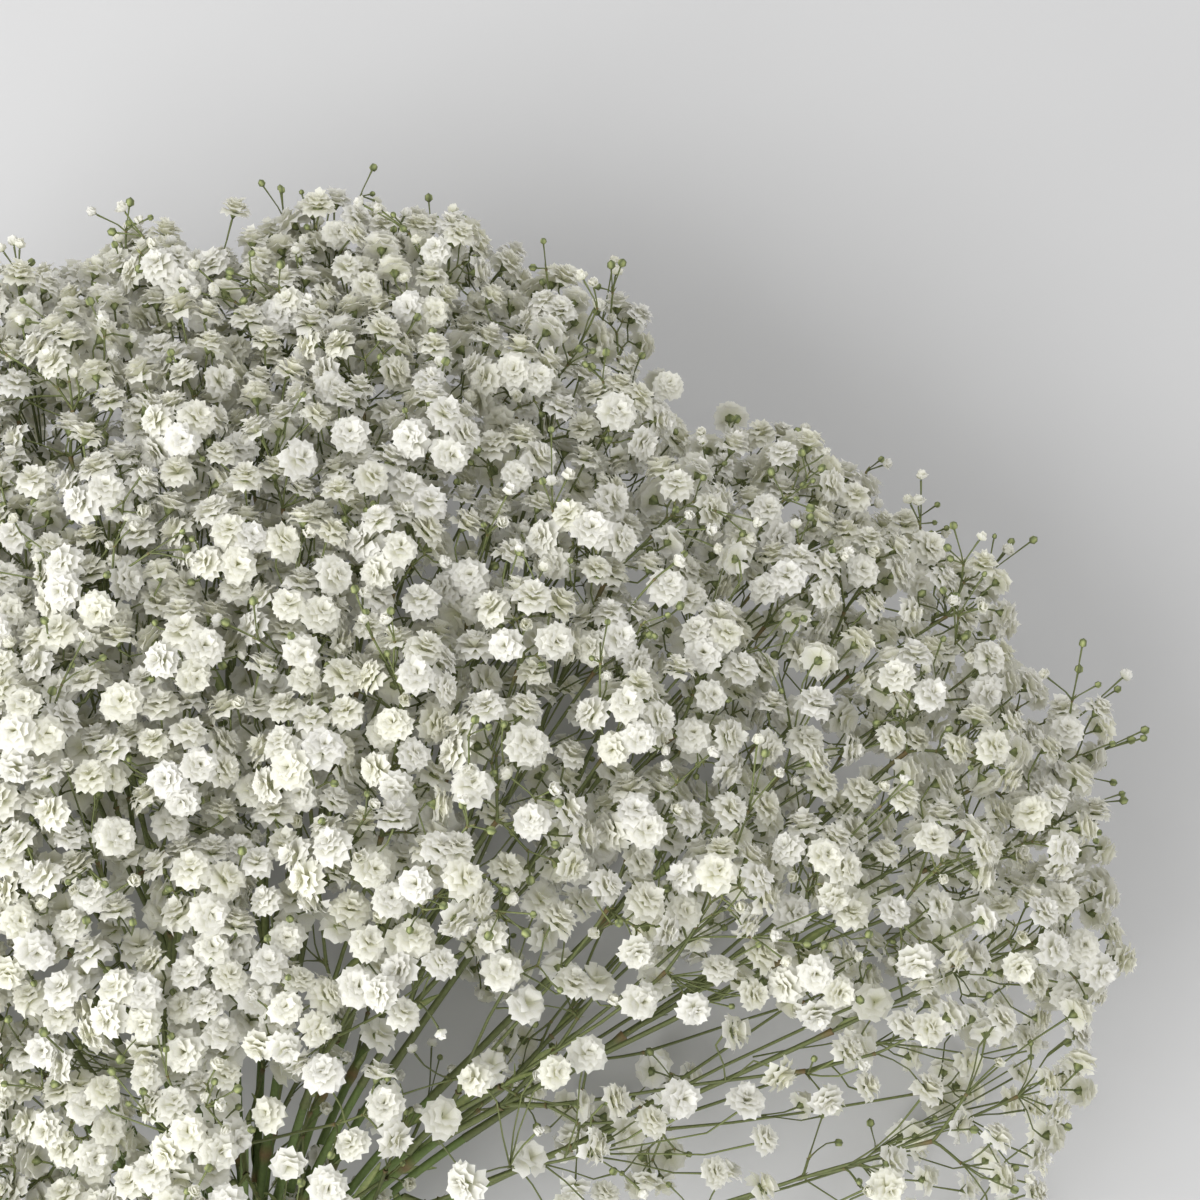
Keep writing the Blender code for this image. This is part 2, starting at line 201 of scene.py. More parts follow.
def fan_point(slot, aim, share):
    """A point of a stem: share 0 is at the top of the tie, share 1 at the foot of its crown."""
    controls = (
        np.array((slot[0], FAN_START, slot[1])),
        np.array((slot[0], STRAIGHT_UP_TO, slot[1])),
        APEX + aim * CROWN_REACH * CROWN_BEND,
        APEX + aim * CROWN_REACH,
    )
    left = 1 - share
    weights = (left**3, 3 * left**2 * share, 3 * left * share**2, share**3)
    return sum(weight * control for weight, control in zip(weights, controls))


COARSE_TAIL = (1.0, 0.66, 0.33)
COARSE_FAN = (0, 0.22, 0.44, 0.63, 0.82, 1)


def stem_line(slot, aim, tail_shares=COARSE_TAIL, fan_shares=COARSE_FAN):
    """The stem's centreline from its cut end to the foot of its crown."""
    tail = [tail_point(slot, -TAIL_LENGTH * share) for share in tail_shares]
    return tail + [fan_point(slot, aim, share) for share in fan_shares]


print("points of a coarse stem:", len(COARSE_TAIL) + len(COARSE_FAN))


# %% [markdown]
# ## The cloud of blooms
# The heads touch and close up into one cloud, a few centimetres deep and open inside. A mesh
# of the cloud's surface would look like a lump. So a rule says how far the cloud reaches each
# way, and blooms are scattered over that shell by a seeded draw, the big ones first, none
# touching another. That is also how a bunch fills up: a bloom opens where it finds room.


# %% The reach of each head
tips = np.array([head[:3] for head in HEADS]) * MM
fullness = np.array([head[3] for head in HEADS])
reaches = np.linalg.norm(tips - APEX, axis=1)
aims = (tips - APEX) / reaches[:, None]
print(f"heads reach {reaches.min():.3f} to {reaches.max():.3f} m from the apex of the fan")


# %% The shape of the cloud
@dataclass(eq=False)
class Bloom:
    """One bloom or bud: its middle, its radius, its stem and the way it faces."""

    place: np.ndarray
    radius: float
    stem: int
    facing: np.ndarray = None
    bud: bool = False


def table_height(points):
    """How high points of the bunch's own axes lie over the table."""
    lift = TAIL_LENGTH * math.sin(LAY_TILT) + CUT_END_DEPTH * math.cos(LAY_TILT)
    return points[..., 1] * math.sin(LAY_TILT) + points[..., 2] * math.cos(LAY_TILT) + lift


def cloud_reach(ways, aims, reaches):
    """How far the cloud of blooms reaches from the apex of the fan along each unit vector."""
    angles = np.arccos(np.clip(ways @ aims.T, -1, 1))
    near = np.exp(-((angles / HEAD_SPREAD) ** 2))
    smooth = (near @ reaches) / near.sum(axis=1)
    return smooth * (0.94 + 0.08 * near.max(axis=1))


def wall_room(place, stem, aims):
    """How far a place lies inside the wedge of its stem."""
    rivals = aims[stem] - np.delete(aims, stem, axis=0)
    return (rivals @ (place - APEX) / np.linalg.norm(rivals, axis=1)).min()


reach_to_first = cloud_reach(aims[:1], aims, reaches)[0]
print(f"cloud's reach towards the first head: {reach_to_first:.3f} m")


# %% Scattering stand-in blooms
def ways_round_heads(rng, tries, aims, reaches, radius):
    """Unit vectors from the apex to random places of the heads, and which head each is for."""
    helper = np.array((0.3, 0.2, 0.93))
    sides = np.cross(aims, helper)
    sides /= np.linalg.norm(sides, axis=1)[:, None]
    others = np.cross(aims, sides)
    head = rng.integers(len(aims), size=tries)
    off = radius * np.sqrt(rng.random(tries))
    turn = rng.random(tries) * 2 * math.pi
    sideways = np.cos(turn)[:, None] * sides[head] + np.sin(turn)[:, None] * others[head]
    ways = aims[head] * reaches[head, None] * 0.85 + off[:, None] * sideways
    return ways / np.linalg.norm(ways, axis=1)[:, None]


def scatter_blooms(aims, reaches, fullness):
    """Scatters blooms over the shell of the cloud, the big ones first, none touching another."""
    rng = np.random.default_rng(SEED)
    blooms = []
    taken = np.empty((0, 3))
    sizes = np.empty(0)
    for radius, low, high, tries in BLOOM_LAYERS:
        ways = ways_round_heads(rng, tries, aims, reaches, HEAD_RADIUS)
        depth = low + (high - low) * rng.random(tries)
        tops = cloud_reach(ways, aims, reaches)
        places = APEX + ways * (tops * depth - radius * 0.6)[:, None]
        stems = (ways @ aims.T).argmax(axis=1)
        wanted = rng.random(tries) < fullness[stems]
        for k in range(tries):
            place, stem = places[k], stems[k]
            if not wanted[k] or table_height(place) < TABLE_CLEARANCE:
                continue
            if wall_room(place, stem, aims) < WEDGE_MARGIN:
                continue
            room = 1 + 1.2 * (1 - fullness[stem])
            gaps = np.linalg.norm(taken - place, axis=1) - sizes
            if len(gaps) and gaps.min() < radius * room + BLOOM_GAP:
                continue
            taken = np.vstack((taken, place))
            sizes = np.append(sizes, radius)
            blooms.append(Bloom(place, radius, int(stem)))
        print(f"stand-ins with those of {2000 * radius:.0f} mm: {len(blooms)}")
    return blooms


# %% [markdown]
# ## Forks
# Each branch of gypsophila ends at a joint and goes on as two or three thinner shoots. A
# fractal makes such forks, but its tips end anywhere. This rule works back from the blooms:
# it divides those that a branch has to reach into groups, by where they stand, and forks
# towards each group until every bloom has a branch of its own.


# %% Joints and shoots
@dataclass
class Joint:
    """A place where a branch forks or ends in a bloom."""

    place: np.ndarray
    radius: float
    bloom: Bloom = None
    shoots: list = field(default_factory=list)


def split_places(start, places):
    """Divides the blooms of a branch among two or three shoots, by where they stand."""
    offsets = places - start
    way = unit(offsets.mean(axis=0))
    flat = offsets - np.outer(offsets @ way, way)
    spread = flat - flat.mean(axis=0)
    across = np.linalg.svd(spread, full_matrices=False)[2][0]
    order = np.argsort(spread @ across)
    parts = 3 if len(places) >= 6 and len(places) % 2 == 0 else 2
    return np.array_split(order, parts)


def grow(start, blooms, radius, thinnest=0.00048):
    """Joints from a start to every bloom, forking on the way as gypsophila does."""
    if len(blooms) == 1:
        return Joint(blooms[0].place, radius, blooms[0])
    places = np.array([bloom.place for bloom in blooms])
    run = places.mean(axis=0) - start
    length = np.linalg.norm(run)
    way = run / length
    offsets = places - start
    ahead = offsets @ way
    width = np.linalg.norm(offsets - np.outer(ahead, way), axis=1).max()
    step = max(min(length - 0.95 * width, ahead.min() - 0.45 * width), 0.18 * length)
    fork = Joint(start + way * step, radius)
    for part in split_places(fork.place, places):
        thinner = max(radius * (0.72 if len(part) > 2 else 0.62), thinnest)
        fork.shoots.append(grow(fork.place, [blooms[k] for k in part], thinner, thinnest))
    return fork


def branches(start, joint):
    """Every branch from a start onwards: its two ends, its radius and the bloom it bears."""
    yield start, joint.place, joint.radius, joint.bloom
    for shoot in joint.shoots:
        yield from branches(joint.place, shoot)


origin = np.zeros(3)
trio = [Bloom(np.array((right, 0.02, 0.0)), 0.005, 0) for right in (-0.01, 0.0, 0.01)]
print("branches to three blooms:", len(list(branches(origin, grow(origin, trio, 0.001)))))


# %% Blooms that stand in a branch's way
def room_beside(blooms, runs):
    """The room that the nearest branch of others leaves each bloom, and the way from there."""
    centres = np.array([bloom.place for bloom in blooms])
    starts = np.array([run[0] for run in runs])
    ends = np.array([run[1] for run in runs])
    radii = np.array([run[2] for run in runs])
    along = ends - starts
    offsets = centres[:, None] - starts
    share = np.einsum("ijk,jk->ij", offsets, along) / np.einsum("jk,jk->j", along, along)
    away = offsets - np.clip(share, 0, 1)[..., None] * along
    nearest = np.linalg.norm(away, axis=2) - radii
    bearers = {id(run[3]): k for k, run in enumerate(runs) if run[3] is not None}
    for k, bloom in enumerate(blooms):
        nearest[k, bearers[id(bloom)]] = np.inf
    which = nearest.argmin(axis=1)
    rows = np.arange(len(blooms))
    return nearest[rows, which] - BRANCH_GAP, away[rows, which]


def step_aside(blooms, room, away, aims):
    """Moves each bloom that a branch would run through a little off it, where that is free."""
    centres = np.array([bloom.place for bloom in blooms])
    radii = np.array([bloom.radius for bloom in blooms])
    for k, bloom in enumerate(blooms):
        lack = bloom.radius - room[k]
        if lack <= 0:
            continue
        place = bloom.place + unit(away[k]) * min(lack, 0.004)
        gaps = np.linalg.norm(centres - place, axis=1) - radii - bloom.radius - BLOOM_GAP
        gaps[k] = 1
        free = gaps.min() > 0 and table_height(place) > TABLE_CLEARANCE
        if free and wall_room(place, bloom.stem, aims) > WEDGE_MARGIN:
            bloom.place = place
            centres[k] = place


print(f"a bloom keeps {1000 * BRANCH_GAP:.1f} mm off the branches of others")


# %% Growing the bunch
def grow_crowns(blooms, lines):
    """The crown of each stem, and the list of all branches and fanned stems."""
    crowns = []
    runs = []
    for k, line in enumerate(lines):
        mine = [bloom for bloom in blooms if bloom.stem == k]
        crowns.append(grow(line[-1], mine, STEM_RADIUS * 0.72))
        runs += [(a, b, STEM_RADIUS, None) for a, b in zip(line[2:], line[3:])]
        runs += list(branches(line[-1], crowns[-1]))
    return crowns, runs


def grow_bunch(aims, reaches, fullness, lines):
    """The crowns of all stems. Blooms give way to branches: they move, shrink or are left out."""
    blooms = scatter_blooms(aims, reaches, fullness)
    for _ in range(SETTLING_ROUNDS):
        crowns, runs = grow_crowns(blooms, lines)
        room, away = room_beside(blooms, runs)
        step_aside(blooms, room, away, aims)
    while True:
        crowns, runs = grow_crowns(blooms, lines)
        room, away = room_beside(blooms, runs)
        kept = [bloom for bloom, free in zip(blooms, room) if free >= SMALLEST_BLOOM]
        if len(kept) == len(blooms):
            break
        blooms = kept
    for bloom, free in zip(blooms, room):
        bloom.radius = min(bloom.radius, free)
    return crowns, blooms


slots = match_slots(tie_slots(len(HEADS)), aims[:, [0, 2]])
coarse_lines = [stem_line(slot, aim) for slot, aim in zip(slots, aims)]
crowns, stand_ins = grow_bunch(aims, reaches, fullness, coarse_lines)
print("stand-in blooms:", len(stand_ins))

# %% [markdown]
# ## Laid on the table
# The bunch grows in its own axes: right, along (from tie to blooms) and near (to the viewer).
# A bunch with no vase lies down, and it lies a little tilted, on its lowest blooms and on the
# cut ends of its stems. An object could be turned as a whole, but the pieces must lie where
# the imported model's nodes are. So the points are turned, and the tie's box says how far the
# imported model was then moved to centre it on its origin.

# %% From the bunch's axes to the table's
TILT_COS, TILT_SIN = math.cos(LAY_TILT), math.sin(LAY_TILT)


def lay_down(points):
    """From the bunch's own axes to the table's, before centring."""
    points = np.asarray(points)
    across = points[..., 1] * TILT_COS - points[..., 2] * TILT_SIN
    return np.stack((points[..., 0], across, table_height(points)), axis=-1)


tie_low, tie_high = (np.array(corner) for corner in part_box("tie"))
centring = (tie_low + tie_high) / 2
centring[2] = 0.0
print("centring:", centring.round(4))


def to_table(points):
    """From the bunch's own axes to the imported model's, kept on top of the table."""
    laid = lay_down(points) + centring
    laid[..., 2] = np.maximum(laid[..., 2], 0.0)
    return laid


# %% [markdown]
# ## The camera
# The photograph looks at the bunch from the side, level with it. Here the bunch lies, so the
# camera looks square down on the plane of the bunch. Its place could be given in the table's
# axes. It is given in the bunch's own, where it was matched to the photograph, so that it
# keeps its meaning when the tilt changes.

# %% A camera square to the bunch
VIEW_MIDDLE = np.array((0.101, 0.246, 0.0))
VIEW_DISTANCE = 0.750
VIEW_WIDTH = 0.343
SENSOR = 36.0

camera_data = bpy.data.cameras.new("camera")
camera_data.sensor_width = SENSOR
camera_data.lens = SENSOR * VIEW_DISTANCE / VIEW_WIDTH
camera = bpy.data.objects.new("camera", camera_data)
camera.location = to_table(VIEW_MIDDLE + np.array((0.0, 0.0, VIEW_DISTANCE)))
camera.rotation_euler = (LAY_TILT, 0.0, 0.0)
bpy.context.scene.collection.objects.link(camera)
bpy.context.scene.camera = camera
print(f"lens {camera_data.lens:.1f} mm, {VIEW_DISTANCE} m in front of the bunch")


# %% [markdown]
# ## Colours
# The petals are almost pure white, and cream to pale green in the heart. All that is green is
# an olive, greyer on twigs than on stems, and joints are brown. Colours are easiest to judge
# as a screen shows them, so they are given that way and turned into the linear values that
# shaders take.


# %% Colours of the plant
def srgb(red, green, blue):
    """A screen colour of 0 to 255 a channel, as linear RGB."""
    channels = []
    for value in (red, green, blue):
        bright = ((value / 255 + 0.055) / 1.055) ** 2.4
        channels.append(bright if value > 10 else value / 3295)
    return np.array(channels)


PETAL_WHITE = srgb(249, 248, 244)
PETAL_HEART = srgb(232, 232, 206)
STEM_GREEN = srgb(102, 120, 66)
STEM_CUT = srgb(168, 170, 120)
TWIG_GREEN = srgb(108, 116, 72)
CALYX_PALE = srgb(158, 166, 110)
CALYX_DARK = srgb(78, 88, 52)
JOINT_BROWN = srgb(120, 100, 66)
LEAF_GREEN = srgb(112, 128, 74)
print("petals:", PETAL_WHITE.round(3), "stems:", STEM_GREEN.round(3))


# %% [markdown]
# ## A petal
# A petal of the double kind is a blunt, thin blade of 4 mm with a notched tip, which leaves
# the heart at a slant and curls outwards. A subdivided plane would show the same outline for
# ten times the triangles, and there are over a hundred thousand petals. So a petal has seven
# points: foot, middle, two sides, and two lobes with the notch between them.


# %% One petal
@dataclass
class Template:
    """Points, triangles and a tint for each point."""

    points: np.ndarray
    faces: np.ndarray
    tints: np.ndarray


PETAL_FACES = np.array(((0, 2, 1), (0, 3, 2), (1, 5, 4), (1, 2, 5), (2, 3, 5), (3, 6, 5)))
PETAL_SHADE = np.array((1.0, 0.12, 0.22, 0.12, 0.0, 0.0, 0.0))
PETAL_WAVE = 0.05


def petal(rng, length, width, lift, curl, turn, base):
    """A blunt, wavy petal that rises at one angle and curls on to another, as a Template."""
    tip_lift = lift + curl
    ahead = np.array((math.cos(tip_lift), math.sin(tip_lift)))
    rise = np.array((-math.sin(tip_lift), math.cos(tip_lift)))
    run = 0.55 * length
    mid = np.array((0.05 + run * math.cos(lift), base + run * math.sin(lift)))
    sides = mid + rise * 0.10 * width + (0.06 * length) * ahead
    notch = mid + (0.35 * length) * ahead
    lobe = mid + (0.44 * length) * ahead
    wave = rng.normal(0, PETAL_WAVE, 4)
    points = np.array(
        (
            (0.03, 0.0, base - 0.05),
            (sides[0], -0.47 * width, sides[1] + wave[0]),
            (mid[0], 0.0, mid[1]),
            (sides[0], 0.47 * width, sides[1] + wave[1]),
            (lobe[0], -0.31 * width, lobe[1] + wave[2]),
            (notch[0], 0.0, notch[1] + 0.03),
            (lobe[0], 0.31 * width, lobe[1] + wave[3]),
        )
    )
    cos, sin = math.cos(turn), math.sin(turn)
    points = points @ np.array(((cos, sin, 0), (-sin, cos, 0), (0, 0, 1)))
    tints = PETAL_WHITE + PETAL_SHADE[:, None] * (PETAL_HEART - PETAL_WHITE)
    return Template(points, PETAL_FACES, tints)


print("triangles of a petal:", len(PETAL_FACES))

# %% [markdown]
# ## Blooms
# A double bloom is a pompom: flat petals outside, steeper ones inside, and upright ones that
# hide the heart. One bloom copied five thousand times would look stamped. So there are
# several kinds of each, some not quite open. The full kind stands where the viewer sees it,
# and a plainer one with wider petals fills the rest for half the triangles.

# %% Layers of petals
# How many, their length, width, lift and curl in degrees, and their foot
FULL_LAYERS = (
    (7, 0.98, 0.90, -8, -34, -0.04),
    (7, 0.98, 0.84, 24, -38, 0.00),
    (6, 0.92, 0.70, 50, -48, 0.08),
    (4, 0.90, 0.66, 74, -56, 0.12),
    (3, 0.80, 0.50, 84, -40, 0.15),
)
PLAIN_LAYERS = (
    (6, 1.00, 1.06, -4, -34, -0.04),
    (5, 0.96, 1.00, 34, -44, 0.04),
    (3, 0.92, 0.96, 68, -50, 0.12),
)
HALF_OPEN_LAYERS = (
    (5, 1.00, 1.00, 28, 56, -0.30),
    (4, 0.95, 0.95, 52, 50, -0.15),
    (3, 0.85, 0.80, 72, 26, -0.05),
)
for layers in (FULL_LAYERS, PLAIN_LAYERS, HALF_OPEN_LAYERS):
    print("petals of a bloom:", sum(layer[0] for layer in layers))


# %% Kinds of bloom, a unit in radius and facing +Z
def merge(parts):
    """Several templates as one."""
    starts = np.cumsum([0] + [len(part.points) for part in parts[:-1]])
    return Template(
        np.concatenate([part.points for part in parts]),
        np.concatenate([part.faces + start for part, start in zip(parts, starts)]),
        np.concatenate([part.tints for part in parts]),
    )


def bloom_template(seed, openness, layers):
    """A double bloom: its petals in layers, flatter outside and upright inside."""
    rng = np.random.default_rng(seed)
    parts = []
    for count, length, width, lift, curl, base in layers:
        first = rng.random() * 2 * math.pi
        for k in range(count):
            turn = first + 2 * math.pi * (k + rng.normal(0, 0.12)) / count
            tilt = math.radians(90 - (90 - lift) * openness + rng.normal(0, 6))
            size = length * rng.uniform(0.88, 1.06)
            bend = math.radians(curl + rng.normal(0, 12))
            parts.append(petal(rng, size, width, tilt, bend, turn, base))
    return merge(parts)


FULL_KINDS = [bloom_template(100 + k, 1.0 - 0.07 * (k % 4), FULL_LAYERS) for k in range(10)]
PLAIN_KINDS = [bloom_template(200 + k, 1.0 - 0.07 * (k % 4), PLAIN_LAYERS) for k in range(5)]
HALF_OPEN_KINDS = [bloom_template(300 + k, 1.0 - 0.05 * k, HALF_OPEN_LAYERS) for k in range(4)]
print("kinds of bloom:", len(FULL_KINDS), len(PLAIN_KINDS), len(HALF_OPEN_KINDS))

# %% [markdown]
# ## Calyx and bud
# Under each bloom sits a small green cup, the calyx, striped pale and dark, and a bud that
# hasn't opened is little more than that cup, closed. Both are round, so they are turned from
# a profile, as on a lathe. Six sides are enough at 2 mm, and every other column of points
# is dark, which gives the stripes with no texture.


# %% Shapes turned from a profile
def ring_faces(rings, sides):
    """The triangles between rings of points that follow one another."""
    faces = []
    for ring in range(rings - 1):
        for k in range(sides):
            k2 = (k + 1) % sides
            a, b = ring * sides, (ring + 1) * sides
            faces += [(a + k, a + k2, b + k), (a + k2, b + k2, b + k)]
    return faces


def lathe(profile, sides, tints, stripes):
    """A closed turned shape from (radius, height) pairs, the first and last on the axis."""
    points = [(0.0, 0.0, profile[0][1])]
    colours = [tints[0]]
    for (radius, height), tint in zip(profile[1:-1], tints[1:-1]):
        for k in range(sides):
            angle = 2 * math.pi * k / sides
            points.append((radius * math.cos(angle), radius * math.sin(angle), height))
            colours.append(tint + (CALYX_DARK - tint) * (stripes if k % 2 else 0.0))
    points.append((0.0, 0.0, profile[-1][1]))
    colours.append(tints[-1])
    last = len(points) - 1
    top = last - sides
    faces = [tuple(1 + corner for corner in face) for face in ring_faces(len(profile) - 2, sides)]
    for k in range(sides):
        k2 = (k + 1) % sides
        faces += [(0, 1 + k2, 1 + k), (top + k, top + k2, last)]
    return Template(np.array(points), np.array(faces), np.array(colours))


CALYX_PROFILE = ((0, -0.50), (0.30, -0.02), (0, -0.08))
BUD_PROFILE = ((0, -1.1), (0.86, -0.45), (0.78, 0.45), (0, 1.0))
CALYX = lathe(CALYX_PROFILE, 6, (CALYX_DARK, CALYX_PALE, CALYX_PALE), 0.8)
GREEN_BUD = lathe(BUD_PROFILE, 6, (CALYX_DARK, CALYX_PALE, CALYX_PALE, CALYX_DARK), 0.9)
print("triangles of a calyx and a bud:", len(CALYX.faces), len(GREEN_BUD.faces))

# %% [markdown]
# ## Bract and leaf
# At each fork a dry little scale, the bract, clasps the branch, and thicker joints bear
# narrow leaves. A flat card with a picture of a leaf is the usual way, but it needs an image.
# These are small meshes instead, folded along the midrib so that they catch the light.


# %% A bract, a unit long
BRACT = Template(
    np.array(
        (
            (0.0, -0.16, 0.0),
            (0.0, 0.16, 0.0),
            (0.10, -0.15, 0.40),
            (0.04, 0.0, 0.42),
            (0.10, 0.15, 0.40),
            (0.30, 0.0, 1.0),
        )
    ),
    np.array(((0, 1, 3), (0, 3, 2), (1, 4, 3), (2, 3, 5), (3, 4, 5))),
    np.array((JOINT_BROWN, JOINT_BROWN, TWIG_GREEN, CALYX_PALE, TWIG_GREEN, JOINT_BROWN)),
)
print("triangles of a bract:", len(BRACT.faces))


# %% A leaf, a unit long
def leaf_template(rows=6, width=0.15, arch=0.34):
    """A lance-shaped leaf with a folded midrib that arches over."""
    fold = 0.02
    points, tints = [], []
    for k in range(rows + 1):
        share = k / rows
        half = width / 2 * math.sin(math.pi * min(share * 0.92 + 0.06, 1)) ** 0.8
        out = arch * share**1.7
        up = share * (1 - 0.18 * share)
        points += [(out + fold, -half, up), (out, 0.0, up), (out + fold, half, up)]
        tints += [LEAF_GREEN, CALYX_PALE, LEAF_GREEN]
    faces = []
    for k in range(rows):
        a = 3 * k
        for s in (0, 1):
            faces += [(a + s, a + s + 1, a + s + 4), (a + s, a + s + 4, a + s + 3)]
    return Template(np.array(points), np.array(faces), np.array(tints))


LEAF = leaf_template()
print("triangles of a leaf:", len(LEAF.faces))


# %% [markdown]
# ## Putting pieces together
# One stem bears hundreds of blooms, buds and stalks. As objects of their own they would make
# Blender slow, and as instances they would be lost. So a Pile gathers copies of templates
# and tubes as arrays, thousands at a time, and makes one mesh of them.


# %% Copies of a template
def square_frames(ways):
    """Two unit vectors square to each of many unit vectors."""
    helper = np.where(np.abs(ways[:, 2:3]) < 0.8, (0.0, 0.0, 1.0), (1.0, 0.0, 0.0))
    first = np.cross(helper, ways)
    first /= np.linalg.norm(first, axis=1)[:, None]
    return first, np.cross(ways, first)


def copies(template, places, ways, sizes, spins):
    """The points of a template at each place, facing its way and turned by its spin."""
    first, second = square_frames(ways)
    cos, sin = np.cos(spins)[:, None], np.sin(spins)[:, None]
    x_axis = cos * first + sin * second
    y_axis = cos * second - sin * first
    axes = np.stack((x_axis, y_axis, ways), axis=1) * sizes[:, None, None]
    return np.einsum("pk,nkj->npj", template.points, axes) + places[:, None]


one_way = np.array([(1.0, 0.0, 0.0)])
sample = copies(CALYX, np.zeros((1, 3)), one_way, np.ones(1), np.zeros(1))
print("a calyx that faces right reaches back to", sample[0, :, 0].min().round(3))


# %% Tubes
@dataclass
class Tubes:
    """Lines with the same number of points, with a radius and a tint for each point."""

    lines: list = field(default_factory=list)
    radii: list = field(default_factory=list)
    tints: list = field(default_factory=list)

    def add(self, line, radii, tints):
        self.lines.append(line)
        self.radii.append(radii)
        self.tints.append(tints)


def skins(lines, radii, sides):
    """Rings of points round many lines: (n, m, 3) points, (n, m) radii."""
    ways = np.gradient(lines, axis=1)
    ways /= np.linalg.norm(ways, axis=2)[..., None]
    chord = lines[:, -1] - lines[:, 0]
    chord /= np.linalg.norm(chord, axis=1)[:, None]
    first, _ = square_frames(chord)
    first = first[:, None] - np.einsum("nk,nmk->nm", first, ways)[..., None] * ways
    first /= np.linalg.norm(first, axis=2)[..., None]
    second = np.cross(ways, first)
    angles = 2 * math.pi * np.arange(sides) / sides
    spokes = np.cos(angles)[:, None] * first[:, :, None]
    spokes = spokes + np.sin(angles)[:, None] * second[:, :, None]
    return lines[:, :, None] + radii[..., None, None] * spokes


straight_line = np.array([[(0.0, 0.0, 0.0), (0.0, 0.0, 1.0)]])
sample = skins(straight_line, np.ones((1, 2)), 4)
print("points of a straight tube of four sides:", sample[0].size // 3)


# %% From arrays to a mesh
def tinted_mesh(name, points, faces, tints):
    """A smooth mesh with a colour for each point, in the attribute called tint."""
    mesh = bpy.data.meshes.new(name)
    mesh.vertices.add(len(points))
    mesh.vertices.foreach_set("co", points.ravel())
    mesh.loops.add(faces.size)
    mesh.loops.foreach_set("vertex_index", faces.ravel())
    mesh.polygons.add(len(faces))
    mesh.polygons.foreach_set("loop_start", np.arange(0, faces.size, 3, dtype=np.int32))
    mesh.update(calc_edges=True)
    mesh.shade_smooth()
    colour = mesh.color_attributes.new("tint", "FLOAT_COLOR", "POINT")
    rgba = np.concatenate((tints, np.ones((len(tints), 1))), axis=1).astype(np.float32)
    colour.data.foreach_set("color", rgba.ravel())
    return mesh


triangle = tinted_mesh("sample", np.eye(3), np.array([(0, 1, 2)]), np.ones((3, 3)))
print("colours of a tinted mesh:", triangle.color_attributes.keys())
bpy.data.meshes.remove(triangle)


# %% A pile of shapes
class Pile:
    """The points, triangles and tints of one piece, while it is put together."""

    def __init__(self):
        self.points, self.faces, self.tints = [], [], []
        self.count = 0

    def add(self, points, faces, tints):
        self.points.append(points)
        self.faces.append(faces + self.count)
        self.tints.append(tints)
        self.count += len(points)

    def add_many(self, points, faces, tints):
        """Adds n like shapes: their points and tints as (n, m, 3), and the faces of one."""
        count, size = points.shape[:2]
        faces = np.asarray(faces)[None] + (np.arange(count) * size)[:, None, None]
        self.add(points.reshape(-1, 3), faces.reshape(-1, 3), tints.reshape(-1, 3))

    def add_copies(self, template, places, ways, sizes, spins, gains=None):
        """A copy of a template at each place, brighter or darker by its gain."""
        points = copies(template, np.array(places), np.array(ways), np.array(sizes), spins)
        tints = np.repeat(template.tints[None], len(points), axis=0)
        if gains is not None:
            tints = tints * gains[:, None]
        self.add_many(points, template.faces, tints)

    def add_tubes(self, tubes, sides):
        """A tube along each line."""
        if not tubes.lines:
            return
        radii = np.array(tubes.radii)
        points = skins(np.array(tubes.lines), radii, sides)
        tints = np.repeat(np.array(tubes.tints)[:, :, None], sides, axis=2)
        shape = (len(radii), radii.shape[1] * sides, 3)
        faces = ring_faces(radii.shape[1], sides)
        self.add_many(points.reshape(shape), faces, tints.reshape(shape))

    def to_piece(self, name, material, node):
        """The pile as one object that rides on the bunch and stands for a node of it."""
        points = to_table(np.concatenate(self.points)).astype(np.float32)
        faces = np.concatenate(self.faces).astype(np.int32)
        mesh = tinted_mesh(name, points, faces, np.concatenate(self.tints))
        mesh.materials.append(material)
        piece = bpy.data.objects.new(name, mesh)
        bpy.context.scene.collection.objects.link(piece)
        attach(piece, "root")
        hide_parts(node)
        return piece


sample = Pile()
sample.add_copies(CALYX, np.zeros((2, 3)), one_way.repeat(2, axis=0), np.ones(2), np.zeros(2))
print("points of a pile of two calyces:", sample.count)


# %% [markdown]
# ## Speckle, the unevenness of every surface
# No surface of a plant is one flat colour: petals are finely crinkled, stems mottled, raffia
# streaked, and a table has faint clouds. All of these are one effect at different scales:
# noise that shades the colour, varies the roughness and raises the surface. So it is built
# once, as a group of nodes with named inputs, and each material gives it its own values.
# The noise runs on the object's own metres, so it is as fine on a small piece as on a large.


# %% Helpers for materials
def new_material(name):
    material = bpy.data.materials.new(name)
    material.use_nodes = True
    tree = material.node_tree
    tree.nodes.clear()
    output = tree.nodes.new("ShaderNodeOutputMaterial")
    return material, tree, output


def link(tree, source, target):
    tree.links.new(source, target)


print("materials of the packed model:", len(bpy.data.materials))


# %% The speckle group
SPECKLE_INPUTS = (
    ("Place", "NodeSocketVector", (0.0, 0.0, 0.0)),
    ("Scale", "NodeSocketFloat", 1000.0),
    ("Detail", "NodeSocketFloat", 0.0),
    ("Colour", "NodeSocketColor", (1.0, 1.0, 1.0, 1.0)),
    ("Darkest", "NodeSocketFloat", 0.9),
    ("Lightest", "NodeSocketFloat", 1.1),
    ("Smoothest", "NodeSocketFloat", 0.5),
    ("Roughest", "NodeSocketFloat", 0.7),
    ("Bump", "NodeSocketFloat", 0.2),
    ("Relief", "NodeSocketFloat", 0.0003),
)
SPECKLE_OUTPUTS = (
    ("Mask", "NodeSocketFloat"),
    ("Colour", "NodeSocketColor"),
    ("Roughness", "NodeSocketFloat"),
    ("Normal", "NodeSocketVector"),
)


